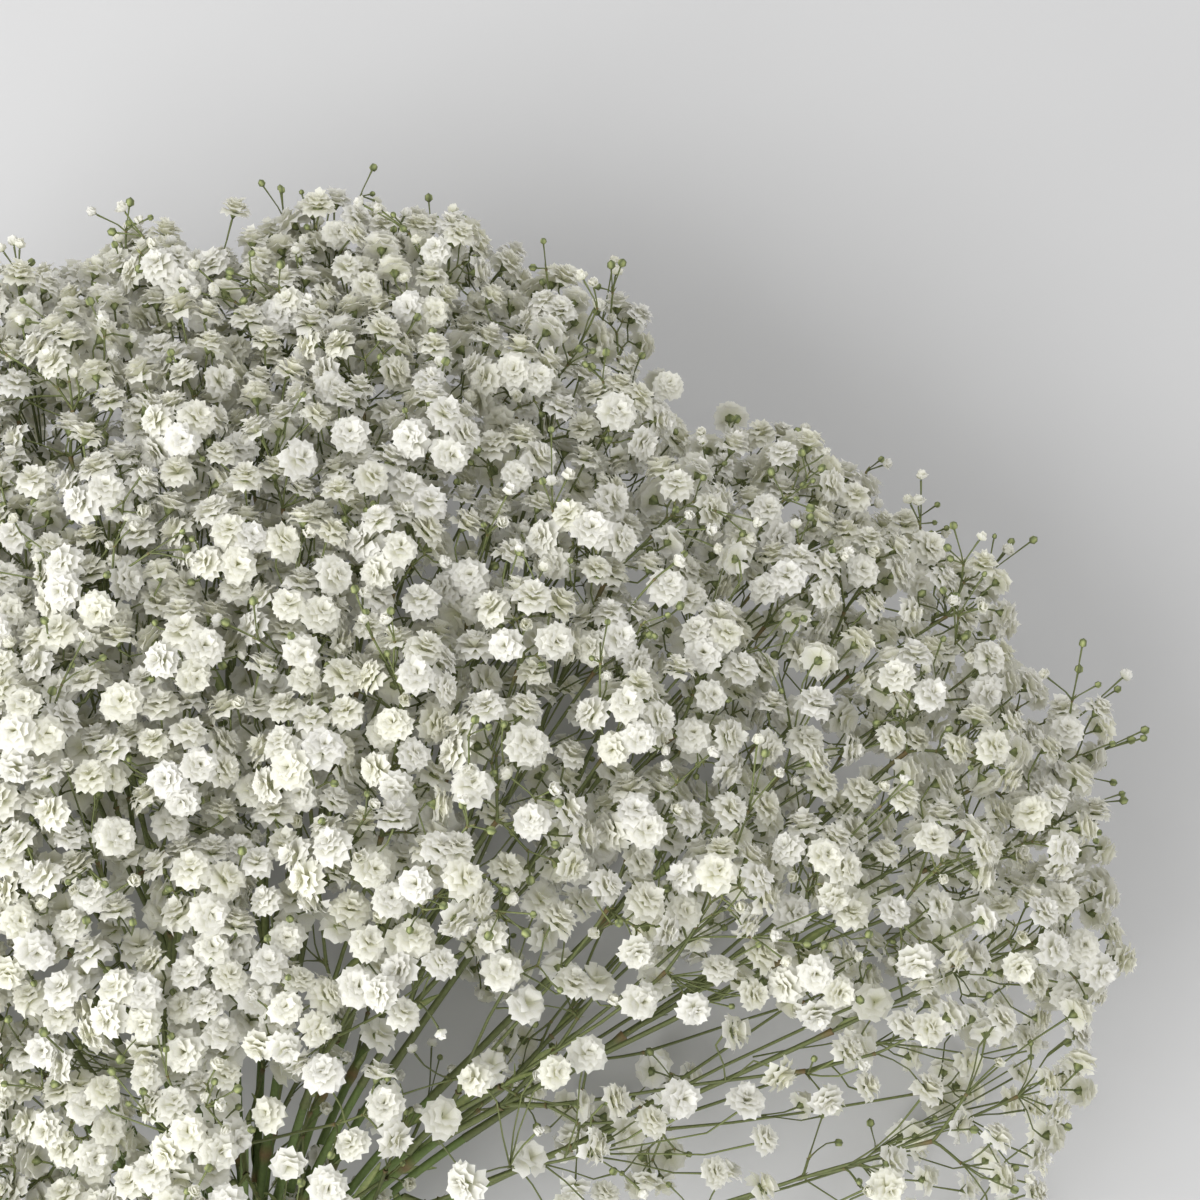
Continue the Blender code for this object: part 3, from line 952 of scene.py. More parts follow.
def spread_over(group, mask, low, high):
    """A node that turns a mask of 0 to 1 into a value between two others."""
    spread = group.nodes.new("ShaderNodeMapRange")
    link(group, mask, spread.inputs["Value"])
    link(group, low, spread.inputs["To Min"])
    link(group, high, spread.inputs["To Max"])
    return spread.outputs["Result"]


def speckle_group():
    """Fine noise that shades a colour, varies a roughness and raises the surface."""
    group = bpy.data.node_groups.new("speckle", "ShaderNodeTree")
    for name, kind, value in SPECKLE_INPUTS:
        socket = group.interface.new_socket(name=name, in_out="INPUT", socket_type=kind)
        socket.default_value = value
    for name, kind in SPECKLE_OUTPUTS:
        group.interface.new_socket(name=name, in_out="OUTPUT", socket_type=kind)
    given = group.nodes.new("NodeGroupInput").outputs
    result = group.nodes.new("NodeGroupOutput").inputs
    noise = group.nodes.new("ShaderNodeTexNoise")
    link(group, given["Place"], noise.inputs["Vector"])
    link(group, given["Scale"], noise.inputs["Scale"])
    link(group, given["Detail"], noise.inputs["Detail"])
    mask = noise.outputs["Fac"]
    shade = group.nodes.new("ShaderNodeVectorMath")
    shade.operation = "SCALE"
    link(group, given["Colour"], shade.inputs[0])
    tone = spread_over(group, mask, given["Darkest"], given["Lightest"])
    link(group, tone, shade.inputs["Scale"])
    bump = group.nodes.new("ShaderNodeBump")
    link(group, given["Bump"], bump.inputs["Strength"])
    link(group, given["Relief"], bump.inputs["Distance"])
    link(group, mask, bump.inputs["Height"])
    link(group, mask, result["Mask"])
    link(group, shade.outputs["Vector"], result["Colour"])
    rough = spread_over(group, mask, given["Smoothest"], given["Roughest"])
    link(group, rough, result["Roughness"])
    link(group, bump.outputs["Normal"], result["Normal"])
    return group


SPECKLE = speckle_group()
print("nodes in the speckle group:", len(SPECKLE.nodes))


# %% The speckle group in a material
def add_speckle(tree, body, **values):
    """Places the speckle group in a material, on the object's own metres, and links it."""
    speckle = tree.nodes.new("ShaderNodeGroup")
    speckle.node_tree = SPECKLE
    for name, value in values.items():
        speckle.inputs[name].default_value = value
    place = tree.nodes.new("ShaderNodeTexCoord")
    link(tree, place.outputs["Object"], speckle.inputs["Place"])
    link(tree, speckle.outputs["Roughness"], body.inputs["Roughness"])
    return speckle


def tint_of(tree):
    """The colour that the mesh gives each of its points."""
    tint = tree.nodes.new("ShaderNodeAttribute")
    tint.attribute_name = "tint"
    return tint.outputs["Color"]


print("inputs of the speckle group:", [name for name, _, _ in SPECKLE_INPUTS])


# %% [markdown]
# ## The petals' finish
# A petal is so thin that light from behind shines through it, which is why a white cloud of
# gypsophila has no black shadows. Subsurface scattering is made for thick bodies and is slow
# on thin ones. A Translucent shader mixed into the Principled one is right for a blade with
# no thickness.


# %% Petals
LIGHT_THROUGH = 0.35


def petal_material():
    """Soft white petals that pass some light, tinted towards green at their feet."""
    material, tree, output = new_material("petals")
    body = tree.nodes.new("ShaderNodeBsdfPrincipled")
    body.inputs["Specular IOR Level"].default_value = 0.3
    crinkle = add_speckle(
        tree,
        body,
        Scale=3200.0,
        Darkest=0.93,
        Lightest=1.03,
        Smoothest=0.54,
        Roughest=0.70,
        Bump=0.15,
    )
    link(tree, tint_of(tree), crinkle.inputs["Colour"])
    link(tree, crinkle.outputs["Colour"], body.inputs["Base Color"])
    link(tree, crinkle.outputs["Normal"], body.inputs["Normal"])
    through = tree.nodes.new("ShaderNodeBsdfTranslucent")
    link(tree, crinkle.outputs["Colour"], through.inputs["Color"])
    mix = tree.nodes.new("ShaderNodeMixShader")
    mix.inputs["Fac"].default_value = LIGHT_THROUGH
    link(tree, body.outputs["BSDF"], mix.inputs[1])
    link(tree, through.outputs["BSDF"], mix.inputs[2])
    link(tree, mix.outputs["Shader"], output.inputs["Surface"])
    return material


PETALS = petal_material()
print("petal nodes:", len(PETALS.node_tree.nodes))

# %% [markdown]
# ## The green parts' finish
# Stems, calyces, buds and bracts have a satin skin, mottled in patches of about a millimetre.
# Each could have a material of its own, but they differ only in colour, and that already
# comes with the mesh as a tint. So one material serves them all.


# %% Green parts
def plant_material():
    """Green stems, calyces, buds and bracts, satin, finely mottled."""
    material, tree, output = new_material("plant")
    body = tree.nodes.new("ShaderNodeBsdfPrincipled")
    body.inputs["Specular IOR Level"].default_value = 0.35
    mottle = add_speckle(
        tree,
        body,
        Scale=900.0,
        Detail=1.0,
        Darkest=0.70,
        Lightest=1.30,
        Smoothest=0.48,
        Roughest=0.68,
        Bump=0.25,
        Relief=0.0004,
    )
    link(tree, tint_of(tree), mottle.inputs["Colour"])
    link(tree, mottle.outputs["Colour"], body.inputs["Base Color"])
    link(tree, mottle.outputs["Normal"], body.inputs["Normal"])
    link(tree, body.outputs["BSDF"], output.inputs["Surface"])
    return material


PLANT = plant_material()
print("plant nodes:", len(PLANT.node_tree.nodes))

# %% [markdown]
# ## The raffia's finish
# Raffia is a dry strip of palm leaf, tan, with long fine streaks. A wood texture would give
# rings. Noise that is squeezed across the strand and stretched along it gives streaks, and a
# ramp turns them into two tans.


# %% Two tones and the raffia
def two_tones(tree, mask, low, dark, high, light):
    """The colours between a dark and a light one that a mask runs through."""
    tones = tree.nodes.new("ShaderNodeValToRGB")
    tones.color_ramp.elements[0].position = low
    tones.color_ramp.elements[0].color = (*dark, 1)
    tones.color_ramp.elements[1].position = high
    tones.color_ramp.elements[1].color = (*light, 1)
    link(tree, mask, tones.inputs["Fac"])
    return tones.outputs["Color"]


RAFFIA_DARK, RAFFIA_LIGHT = srgb(132, 100, 62), srgb(206, 180, 134)
STREAKS_PER_METRE = (60.0, 1600.0, 60.0)


def raffia_material():
    """Dry tan fibre with fine streaks round the turns."""
    material, tree, output = new_material("raffia")
    body = tree.nodes.new("ShaderNodeBsdfPrincipled")
    streaks = add_speckle(
        tree, body, Scale=1.0, Detail=5.0, Smoothest=0.6, Roughest=0.8, Bump=0.6, Relief=0.0005
    )
    place = tree.nodes.new("ShaderNodeTexCoord")
    stretch = tree.nodes.new("ShaderNodeMapping")
    stretch.inputs["Rotation"].default_value = (LAY_TILT, 0.0, 0.0)
    stretch.inputs["Scale"].default_value = STREAKS_PER_METRE
    link(tree, place.outputs["Object"], stretch.inputs["Vector"])
    link(tree, stretch.outputs["Vector"], streaks.inputs["Place"])
    fibre = two_tones(tree, streaks.outputs["Mask"], 0.32, RAFFIA_DARK, 0.66, RAFFIA_LIGHT)
    link(tree, fibre, body.inputs["Base Color"])
    link(tree, streaks.outputs["Normal"], body.inputs["Normal"])
    link(tree, body.outputs["BSDF"], output.inputs["Surface"])
    return material


RAFFIA = raffia_material()
print("raffia nodes:", len(RAFFIA.node_tree.nodes))

# %% [markdown]
# ## Cymes
# At the end of a branch, gypsophila bears a cyme: a bloom, beside it two shoots with a bloom
# each, and so on, with the last ones still in bud. Where the model has a stand-in bloom, such
# a group is spread over the same ball of space. Random places would clump. Turning by the
# golden angle from one bloom to the next spreads them evenly, as plants do.

# %% Sizes in a cyme
BLOOM_SIZE = 0.0054
HALF_OPEN_SIZE = 0.0027
BUD_SIZE = 0.0013
HALF_OPEN_SHARE = 0.4
BUD_SHARE = 0.36
CYME_COVER = 9.0
CYME_RADIUS = 0.013
GOLDEN_ANGLE = math.radians(137.5)
cyme_rng = np.random.default_rng(SEED + 1)
print(f"radius of a bloom {1000 * BLOOM_SIZE:.1f} mm, of a bud {1000 * BUD_SIZE:.1f} mm")

# %% [markdown]
# ## Hollows
# Real heads are not equally full. Between some of them the viewer looks in at the stems, the
# outline dips, and low down the stems are bare. A texture could mask the blooms, but no
# image is used here, so a few circles and a slanting line, on the plane that the camera
# looks at, say where few blooms stand.

# %% Hollows and dips
# Where the viewer looks between heads at the stems: right, along and radius in millimetres
HOLLOWS = np.array(
    (
        (52, 243, 14),
        (8, 283, 15),
        (-53, 290, 18),
        (161, 200, 13),
        (172, 217, 10),
        (-36, 180, 14),
        (230, 220, 11),
        (15, 149, 11),
        (201, 188, 12),
        (90, 146, 14),
    )
)

# Where the outline dips between two heads, given in the same way
DIPS = np.array(
    (
        (-12, 364, 20),
        (132, 316, 22),
        (148, 300, 12),
        (205, 288, 14),
    )
)
BEHIND = -0.02
BARE_FROM, BARE_CORNER, BARE_RIGHT = -0.005, 0.130, 0.136
BARE_FOOT, BARE_SLOPE, BARE_TOP = 0.121, 0.27, 0.152
THIN_COVER, RIGHT_COVER, RIGHT_FROM = 0.12, 0.6, 0.18
print("hollows:", len(HOLLOWS), "dips:", len(DIPS))


# %% How full of blooms a place is
def seen_at(place):
    """Where the camera sees a place, on the plane of the bunch through the tie."""
    nearer = VIEW_DISTANCE / (VIEW_DISTANCE - place[2])
    return VIEW_MIDDLE[:2] + (place[:2] - VIEW_MIDDLE[:2]) * nearer


def is_in_circles(seen, circles):
    """Whether a seen place is inside any of some circles, given in millimetres."""
    middles, radii = circles[:, :2] * MM, circles[:, 2] * MM
    return bool((np.linalg.norm(middles - seen, axis=1) < radii).any())


def bare_below(right):
    """How far along the bunch the stems are bare, at a place to the right."""
    if right >= BARE_CORNER:
        return BARE_RIGHT
    return min(BARE_FOOT + BARE_SLOPE * (right + 0.002), BARE_TOP)


def cover_at(place):
    """The share of blooms that the bunch bears round a place."""
    seen = seen_at(place)
    right, along = seen
    if is_in_circles(seen, DIPS):
        return 0.0
    if place[2] < BEHIND:
        return 1.0
    if is_in_circles(seen, HOLLOWS) or (right > BARE_FROM and along < bare_below(right)):
        return THIN_COVER
    return RIGHT_COVER if right > RIGHT_FROM else 1.0


print("cover at the first head's tip:", cover_at(tips[0]))


# %% The blooms of a cyme
def half_open(place, stem, facing, rng):
    """A bloom that is just opening, or a bud still green."""
    if rng.random() < HALF_OPEN_SHARE:
        return Bloom(place, HALF_OPEN_SIZE * rng.uniform(0.8, 1.15), stem, facing)
    return Bloom(place, BUD_SIZE * rng.uniform(0.7, 1.15), stem, facing, True)


def cyme_blooms(stand_in, way, openness):
    """Blooms and buds over the ball of a stand-in, facing out from its lower middle."""
    rng = cyme_rng
    middle, radius, stem = stand_in.place, stand_in.radius, stand_in.stem
    first, second = (side[0] for side in square_frames(way[None]))
    openness *= 0.1 + 0.9 * cover_at(middle)
    full = max(1, round(CYME_COVER * openness * (radius / CYME_RADIUS) ** 2))
    buds = max(1, round(full * BUD_SHARE))
    every = 1 + full // buds
    start = rng.random() * 2 * math.pi
    found = []
    for k in range(full + buds):
        share = (k + 0.5) / (full + buds)
        polar = math.acos(1 - share * 1.45) * rng.uniform(0.92, 1.08)
        turn = start + k * GOLDEN_ANGLE + rng.normal(0, 0.2)
        across = math.cos(turn) * first + math.sin(turn) * second
        out = math.cos(polar) * way + math.sin(polar) * across
        facing = unit(out + 0.45 * way + rng.normal(0, 0.12, 3))
        if k % every == every - 1:
            place = middle + out * radius * rng.uniform(0.8, 1.05)
            found.append(half_open(place, stem, facing, rng))
        else:
            place = middle + out * radius * rng.uniform(0.66, 0.86)
            found.append(Bloom(place, BLOOM_SIZE * rng.uniform(0.86, 1.08), stem, facing))
    return found


print("most blooms in a cyme:", round(CYME_COVER))

# %% Cymes in place of stand-ins
CYME_NECK = 0.002
CYME_STALK, THINNEST_STALK = 0.00034, 0.00022


def with_cymes(start, joint, openness):
    """A copy of a crown's joints, in which each stand-in bloom is a cyme on pedicels."""
    way = unit(joint.place - start)
    if joint.bloom is None:
        fork = Joint(joint.place, joint.radius)
        fork.shoots = [with_cymes(joint.place, shoot, openness) for shoot in joint.shoots]
        return fork
    foot = joint.place - way * joint.bloom.radius * 0.95
    if (foot - start) @ way < CYME_NECK:
        foot = start + way * CYME_NECK
    blooms = cyme_blooms(joint.bloom, way, openness)
    cyme = Joint(foot, min(joint.radius, 0.00042))
    places = np.array([bloom.place for bloom in blooms])
    for part in split_places(foot, places):
        mine = [blooms[k] for k in part]
        cyme.shoots.append(grow(foot, mine, CYME_STALK, THINNEST_STALK))
    return cyme


dressed = []
for k, crown in enumerate(crowns):
    openness = 1.0 if fullness[k] > 0.5 else 0.45
    dressed.append(with_cymes(coarse_lines[k][-1], crown, openness))
print("crowns with cymes:", len(dressed))

# %% [markdown]
# ## Branches and pedicels
# A branch leaves its fork in the direction of the branch before it and then bends its own
# way, swells at both ends and turns brown at the joint. A curve object with a bevel draws
# such a line well, but thousands of them are heavy. So each line is a few points of a cubic,
# and all lines of one kind are skinned together as tubes of three or four sides.


# %% Smooth lines
BRANCH_SHARES = np.array((0.0, 0.25, 0.60, 0.93, 1.0))
BRANCH_SWELL = np.array((1.25, 1.0, 0.97, 1.0, 1.45))
PEDICEL_SHARES = np.array((0.0, 0.33, 0.67, 1.0))
PEDICEL_SWELL = np.array((1.15, 0.9, 0.95, 1.3))
BLOOM_STALK, BUD_STALK = 0.00030, 0.00026


def curve_points(start, end, start_way, end_way, shares):
    """Points of a smooth curve that leaves and arrives by given ways."""
    length = np.linalg.norm(end - start)
    t = shares[:, None]
    return (
        (2 * t**3 - 3 * t**2 + 1) * start
        + (t**3 - 2 * t**2 + t) * length * start_way
        + (3 * t**2 - 2 * t**3) * end
        + (t**3 - t**2) * length * end_way
    )


print("points of a branch and of a pedicel:", len(BRANCH_SHARES), len(PEDICEL_SHARES))


# %% What the viewer can see
SHELL_SHARE = 0.915
HIDDEN_BELOW = -0.030


def is_in_view(place):
    """Whether a place is in the outer part of the cloud, and not on its far side."""
    arm = place - APEX
    length = np.linalg.norm(arm)
    top = cloud_reach(arm[None] / length, aims, reaches)[0]
    return bool(length > SHELL_SHARE * top and place[2] > HIDDEN_BELOW)


print("heads' tips in view:", sum(is_in_view(tip) for tip in tips))

# %% What one stem bears
LEAF_BRANCH_RADIUS, LEAF_BRANCH_LENGTH = 0.0007, 0.015
LEAF_LENGTHS = (0.010, 0.020)


def random_side(way, rng):
    """A random unit vector square to a way."""
    side = rng.normal(0, 1, 3)
    return unit(side - (side @ way) * way)


class Spray:
    """What one stem bears, gathered for two pieces: its green parts and its petals."""

    def __init__(self, seed):
        self.rng = np.random.default_rng(seed)
        self.branches, self.pedicels = Tubes(), Tubes()
        self.blooms, self.kinds, self.buds = [], [], []
        self.bracts, self.leaves = [], []

    def draw(self, start, joint, start_way):
        """Draws the branch up to a joint, and all that follows."""
        rng = self.rng
        chord = unit(joint.place - start)
        if joint.bloom is not None:
            self.draw_pedicel(start, joint.bloom, start_way)
            return
        leave = unit(chord + start_way * 0.35 + rng.normal(0, 0.05, 3))
        arrive = unit(chord + rng.normal(0, 0.06, 3))
        line = curve_points(start, joint.place, leave, arrive, BRANCH_SHARES)
        tints = np.repeat(TWIG_GREEN[None], len(line), axis=0) * rng.uniform(0.85, 1.15)
        tints[-1] = JOINT_BROWN
        self.branches.add(line, joint.radius * BRANCH_SWELL, tints)
        self.dress_joint(joint, chord, np.linalg.norm(joint.place - start))
        for shoot in joint.shoots:
            self.draw(joint.place, shoot, arrive)

    def dress_joint(self, joint, chord, length):
        """A bract under each shoot that turns away, and a leaf where the branch is thick."""
        for shoot in joint.shoots:
            side = unit(shoot.place - joint.place) - chord
            if np.linalg.norm(side) > 0.05:
                way = unit(chord + 0.5 * unit(side))
                self.bracts.append((joint.place, way, 0.0016 + 1.6 * joint.radius))
        if joint.radius > LEAF_BRANCH_RADIUS and length > LEAF_BRANCH_LENGTH:
            way = unit(chord + 0.35 * random_side(chord, self.rng))
            self.leaves.append((joint.place, way, self.rng.uniform(*LEAF_LENGTHS)))

    def draw_pedicel(self, start, bloom, start_way):
        """A thin stalk with its bloom or bud."""
        rng = self.rng
        foot = bloom.place - bloom.facing * bloom.radius * (1.0 if bloom.bud else 0.45)
        leave = unit(unit(foot - start) + 0.5 * start_way)
        line = curve_points(start, foot, leave, bloom.facing, PEDICEL_SHARES)
        tints = np.repeat(TWIG_GREEN[None], len(line), axis=0) * rng.uniform(0.8, 1.15)
        self.pedicels.add(line, PEDICEL_SWELL * (BUD_STALK if bloom.bud else BLOOM_STALK), tints)
        if bloom.bud:
            self.buds.append((bloom.place, bloom.facing, bloom.radius))
            return
        kinds = FULL_KINDS if is_in_view(bloom.place) else PLAIN_KINDS
        if bloom.radius < 0.7 * BLOOM_SIZE:
            kinds = HALF_OPEN_KINDS
        self.blooms.append((bloom.place, bloom.facing, bloom.radius))
        self.kinds.append(kinds[rng.integers(len(kinds))])


sprays = [Spray(SEED + 10 + k) for k in range(len(crowns))]
for spray, line, crown, aim in zip(sprays, coarse_lines, dressed, aims):
    spray.draw(line[-1], crown, aim)
print("blooms in the cymes:", sum(len(spray.blooms) for spray in sprays))

# %% [markdown]
# ## Between the cymes and beyond them
# In the real bunch the cymes of one stem reach into those of the next and no gap is left in
# the cloud. Larger stand-ins would close the gaps with fewer, fatter blooms. Instead, single
# blooms on long pedicels are set wherever there is still room, deeper ones more sparsely,
# and small sprigs of buds stand out of the cloud all round.

# %% Layers of single blooms
# How deep they stand, as shares of the cloud's reach, how far apart, and the tries
GAP_LAYERS = (
    (0.94, 1.00, 0.0088, 24000),
    (0.84, 0.94, 0.0109, 11000),
    (0.68, 0.84, 0.0170, 3000),
)
SPRIG_LAYER = (1.00, 1.045, 0.0080, 800)
FRONT_ROOM, SIDE_ROOM, HIDDEN_ROOM = 0.85, 1.13, 1.60
FRONT_EDGE = 0.06
SHELL_INSET = 0.004
LOWEST_TIP = 0.006
WALL_MARGIN = 0.0015
SHORTEST_PEDICEL, LONGEST_PEDICEL = 0.006, 0.045
LEAST_RISE = 0.35
print("tries to fill a gap:", sum(layer[3] for layer in GAP_LAYERS))


# %% Finding room, and a branch to grow from
def anchors_of(start, joint):
    """Places along a crown's branches where a single pedicel may leave, with their way."""
    found = []
    for a, b, radius, bloom in branches(start, joint):
        if bloom is None:
            way = unit(b - a)
            found += [(a + share * (b - a), way) for share in (0.35, 0.7, 1.0)]
    return found


def room_wanted(place, spacing):
    """How far a bloom stands from others: closest in front, widest where it is hidden."""
    if place[2] < HIDDEN_BELOW:
        return spacing * HIDDEN_ROOM
    is_in_front = place[0] < FRONT_EDGE and place[2] > 0
    return spacing * (FRONT_ROOM if is_in_front else SIDE_ROOM)


class Filler:
    """Finds free places in a layer of the cloud, and the branch that each can grow from."""

    def __init__(self, starts, crowns):
        self.rng = np.random.default_rng(SEED + 2)
        self.anchors = [anchors_of(*pair) for pair in zip(starts, crowns)]
        self.feet = [np.array([anchor[0] for anchor in found]) for found in self.anchors]
        runs = [run for pair in zip(starts, crowns) for run in branches(*pair)]
        blooms = [run[3] for run in runs if run[3] is not None]
        self.taken = np.array([bloom.place for bloom in blooms if not bloom.bud])

    def nearest_anchor(self, place, stem, way):
        """The anchor that a pedicel to the place is shortest and straightest from."""
        arms = place - self.feet[stem]
        lengths = np.linalg.norm(arms, axis=1)
        rises = arms @ way / np.maximum(lengths, 1e-6)
        fits = (rises > LEAST_RISE) & (lengths > SHORTEST_PEDICEL)
        costs = np.where(fits, lengths * (1.6 - rises), np.inf)
        nearest = int(costs.argmin())
        return self.anchors[stem][nearest] if costs[nearest] < LONGEST_PEDICEL else None

    def places(self, low, high, spacing, tries):
        """Yields the stem, the anchor, the place and the way out to it."""
        rng = self.rng
        ways = ways_round_heads(rng, tries, aims, reaches, HEAD_RADIUS * 1.1)
        tops = cloud_reach(ways, aims, reaches) - SHELL_INSET
        places = APEX + ways * (tops * rng.uniform(low, high, tries))[:, None]
        stems = (ways @ aims.T).argmax(axis=1)
        luck = rng.random(tries)
        for place, stem, way, draw in zip(places, stems, ways, luck):
            if table_height(place) < LOWEST_TIP or wall_room(place, stem, aims) < WALL_MARGIN:
                continue
            if draw > fullness[stem] * cover_at(place):
                continue
            gaps = np.linalg.norm(self.taken - place, axis=1)
            if gaps.min() < room_wanted(place, spacing):
                continue
            anchor = self.nearest_anchor(place, stem, way)
            if anchor is not None:
                self.taken = np.vstack((self.taken, place))
                yield stem, anchor, place, way


crown_starts = [line[-1] for line in coarse_lines]
filler = Filler(crown_starts, dressed)
print("places that a pedicel may leave:", sum(len(found) for found in filler.anchors))


# %% Single blooms in the gaps
def add_gap_blooms(filler, sprays):
    """Single blooms in the gaps of the cloud's shell, some with a bud beside them."""
    rng = filler.rng
    for layer in GAP_LAYERS:
        for stem, (foot, branch_way), place, way in filler.places(*layer):
            facing = unit(way + rng.normal(0, 0.35, 3))
            bloom = Bloom(place, BLOOM_SIZE * rng.uniform(0.84, 1.06), stem, facing)
            sprays[stem].draw_pedicel(foot, bloom, branch_way)
            if rng.random() < 0.35:
                side = place + unit(rng.normal(0, 1, 3)) * 0.007
                bud = half_open(side, stem, facing, rng)
                sprays[stem].draw_pedicel(foot, bud, branch_way)


add_gap_blooms(filler, sprays)
print("blooms with the gaps filled:", sum(len(spray.blooms) for spray in sprays))


# %% Sprigs of buds
def add_sprigs(filler, sprays):
    """Forks of two to four buds that stand out of the cloud."""
    rng = filler.rng
    for stem, (foot, branch_way), place, way in filler.places(*SPRIG_LAYER):
        fork = Joint(foot + (place - foot) * 0.6, 0.00030)
        for _ in range(rng.integers(2, 5)):
            end = place + rng.normal(0, 0.0042, 3)
            facing = unit(end - fork.place)
            fork.shoots.append(Joint(end, 0.0002, half_open(end, stem, facing, rng)))
        sprays[stem].draw(foot, fork, branch_way)


add_sprigs(filler, sprays)
print("buds:", sum(len(spray.buds) for spray in sprays))

# %% [markdown]
# ## Main stems and side shoots
# Below its crown a stem is a smooth green rod with a swollen joint every few centimetres,
# where two leaves and a thin shoot stand. The photograph shows these stems best, so they get
# more sides and points than the branches. A tube whose radius and colour change at the
# joints shows them without extra parts.


# %% The rod of a stem
STEM_SIDES, BRANCH_SIDES, PEDICEL_SIDES = 8, 4, 3
FINE_TAIL, FINE_FAN = np.linspace(1, 0.06, 8), np.linspace(0, 1, 34)


def joint_places(line, rng):
    """Two places on the fanned part of a main stem where leaves and shoots stand."""
    return [int(rng.integers(14, 24)), int(rng.integers(28, len(line) - 2))]


def stem_tube(line, joints, rng):
    """One tube for a main stem, swollen and browner at its joints and pale where it is cut."""
    count = len(line)
    radii = STEM_RADIUS * (1.04 - 0.24 * np.linspace(0, 1, count))
    tints = np.repeat(STEM_GREEN[None], count, axis=0) * rng.uniform(0.85, 1.12)
    for k in joints:
        radii[k] *= 1.45
        radii[k + 1] *= 1.15
        tints[k] = JOINT_BROWN
    tints[0] = STEM_CUT
    return Tubes([line], [radii], [tints])


print("points of a main stem:", len(FINE_TAIL) + len(FINE_FAN))


# %% Side shoots
SHOOT_LENGTHS = (0.030, 0.046)
SHOOT_LEAVES = (0.011, 0.020)
SHOOT_RADIUS = 0.00055


def add_side_shoot(spray, line, joint, stem):
    """A thin shoot from a joint of a main stem, with leaves at its foot and a few blooms."""
    rng = spray.rng
    start, way = line[joint], unit(line[joint + 1] - line[joint - 1])
    side = random_side(way, rng)
    for lean in (0.4, -0.4):
        leaf = (start, unit(way + lean * side), rng.uniform(*SHOOT_LEAVES))
        spray.leaves.append(leaf)
    length = rng.uniform(*SHOOT_LENGTHS)
    fork = Joint(start + unit(way + 0.42 * side) * length * 0.62, SHOOT_RADIUS)
    for _ in range(rng.integers(3, 5)):
        out = unit(way + 0.48 * side + rng.normal(0, 0.16, 3))
        end = start + out * length * rng.uniform(0.9, 1.15)
        if table_height(end) > LOWEST_TIP:
            facing = unit(end - fork.place)
            if rng.random() < 0.2:
                bloom = Bloom(end, BLOOM_SIZE * rng.uniform(0.8, 1.0), stem, facing)
            else:
                bloom = half_open(end, stem, facing, rng)
            fork.shoots.append(Joint(end, 0.0003, bloom))
    if fork.shoots:
        spray.draw(start, fork, way)


print("side shoots:", 2 * len(sprays))


# %% [markdown]
# ## From sprays to pieces
# A stem and its petals could be one piece, but they have different finishes, and a piece
# under 200,000 triangles is easier to work with. So each stem makes two pieces, its green
# parts and its petals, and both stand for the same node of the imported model.


# %% The green piece
def green_piece(spray, stem, name, node):
    """The stem, branches, pedicels, calyces, buds, bracts and leaves of a spray."""
    pile = Pile()
    pile.add_tubes(stem, STEM_SIDES)
    pile.add_tubes(spray.branches, BRANCH_SIDES)
    pile.add_tubes(spray.pedicels, PEDICEL_SIDES)
    for template, items in (
        (CALYX, spray.blooms),
        (GREEN_BUD, spray.buds),
        (BRACT, spray.bracts),
        (LEAF, spray.leaves),
    ):
        if items:
            spins = spray.rng.random(len(items)) * 2 * math.pi
            pile.add_copies(template, *zip(*items), spins)
    return pile.to_piece(name, PLANT, node)


print("sides of a stem, a branch and a pedicel:", STEM_SIDES, BRANCH_SIDES, PEDICEL_SIDES)


# %% The petal piece
ALL_KINDS = FULL_KINDS + PLAIN_KINDS + HALF_OPEN_KINDS


def petal_piece(spray, name, node):
    """The petals of all blooms of a spray, each bloom a little creamier or greyer."""
    rng = spray.rng
    count = len(spray.blooms)
    pile = Pile()
    gains = rng.uniform(0.95, 1.0, size=(count, 1)) * np.ones(3)
    gains[:, 2] *= rng.uniform(0.94, 1.0, size=count)
    for template in ALL_KINDS:
        chosen = [k for k, kind in enumerate(spray.kinds) if kind is template]
        if chosen:
            columns = zip(*(spray.blooms[k] for k in chosen))
            spins = rng.random(len(chosen)) * 2 * math.pi
            pile.add_copies(template, *columns, spins, gains[chosen])
    return pile.to_piece(name, PETALS, node)


print("kinds of bloom in all:", len(ALL_KINDS))


# %% All pieces of the stems
pieces = []
for k, (spray, slot, aim) in enumerate(zip(sprays, slots, aims)):
    line = np.array(stem_line(slot, aim, FINE_TAIL, FINE_FAN))
    joints = joint_places(line, spray.rng)
    for joint in joints:
        add_side_shoot(spray, line, joint, k)
    stem = stem_tube(line, joints, spray.rng)
    node = f"spray_{k + 1:02d}"
    pieces.append(green_piece(spray, stem, f"stems_{k + 1:02d}", node))
    pieces.append(petal_piece(spray, f"blooms_{k + 1:02d}", node))
print("pieces:", len(pieces), "blooms:", sum(len(spray.blooms) for spray in sprays))

# %% [markdown]
# ## The raffia tie
# A florist winds a flat strand of raffia a few times round the stems and knots it. The stems
# are not a round rod: seen from the end they make a hexagon of sorts, and the strand runs
# straight from one outer stem to the next. A shrinkwrapped curve would find that outline, but
# it can be had exactly: it is the furthest reach of the stems in each direction.

# %% A flat strand
TURNS = 5
TURN_PITCH = 0.0019
TURN_POINTS = 73
STRAND_WIDTH = 0.0026
STRAND_THICKNESS = 0.0009
STRAND_SIDES = 10


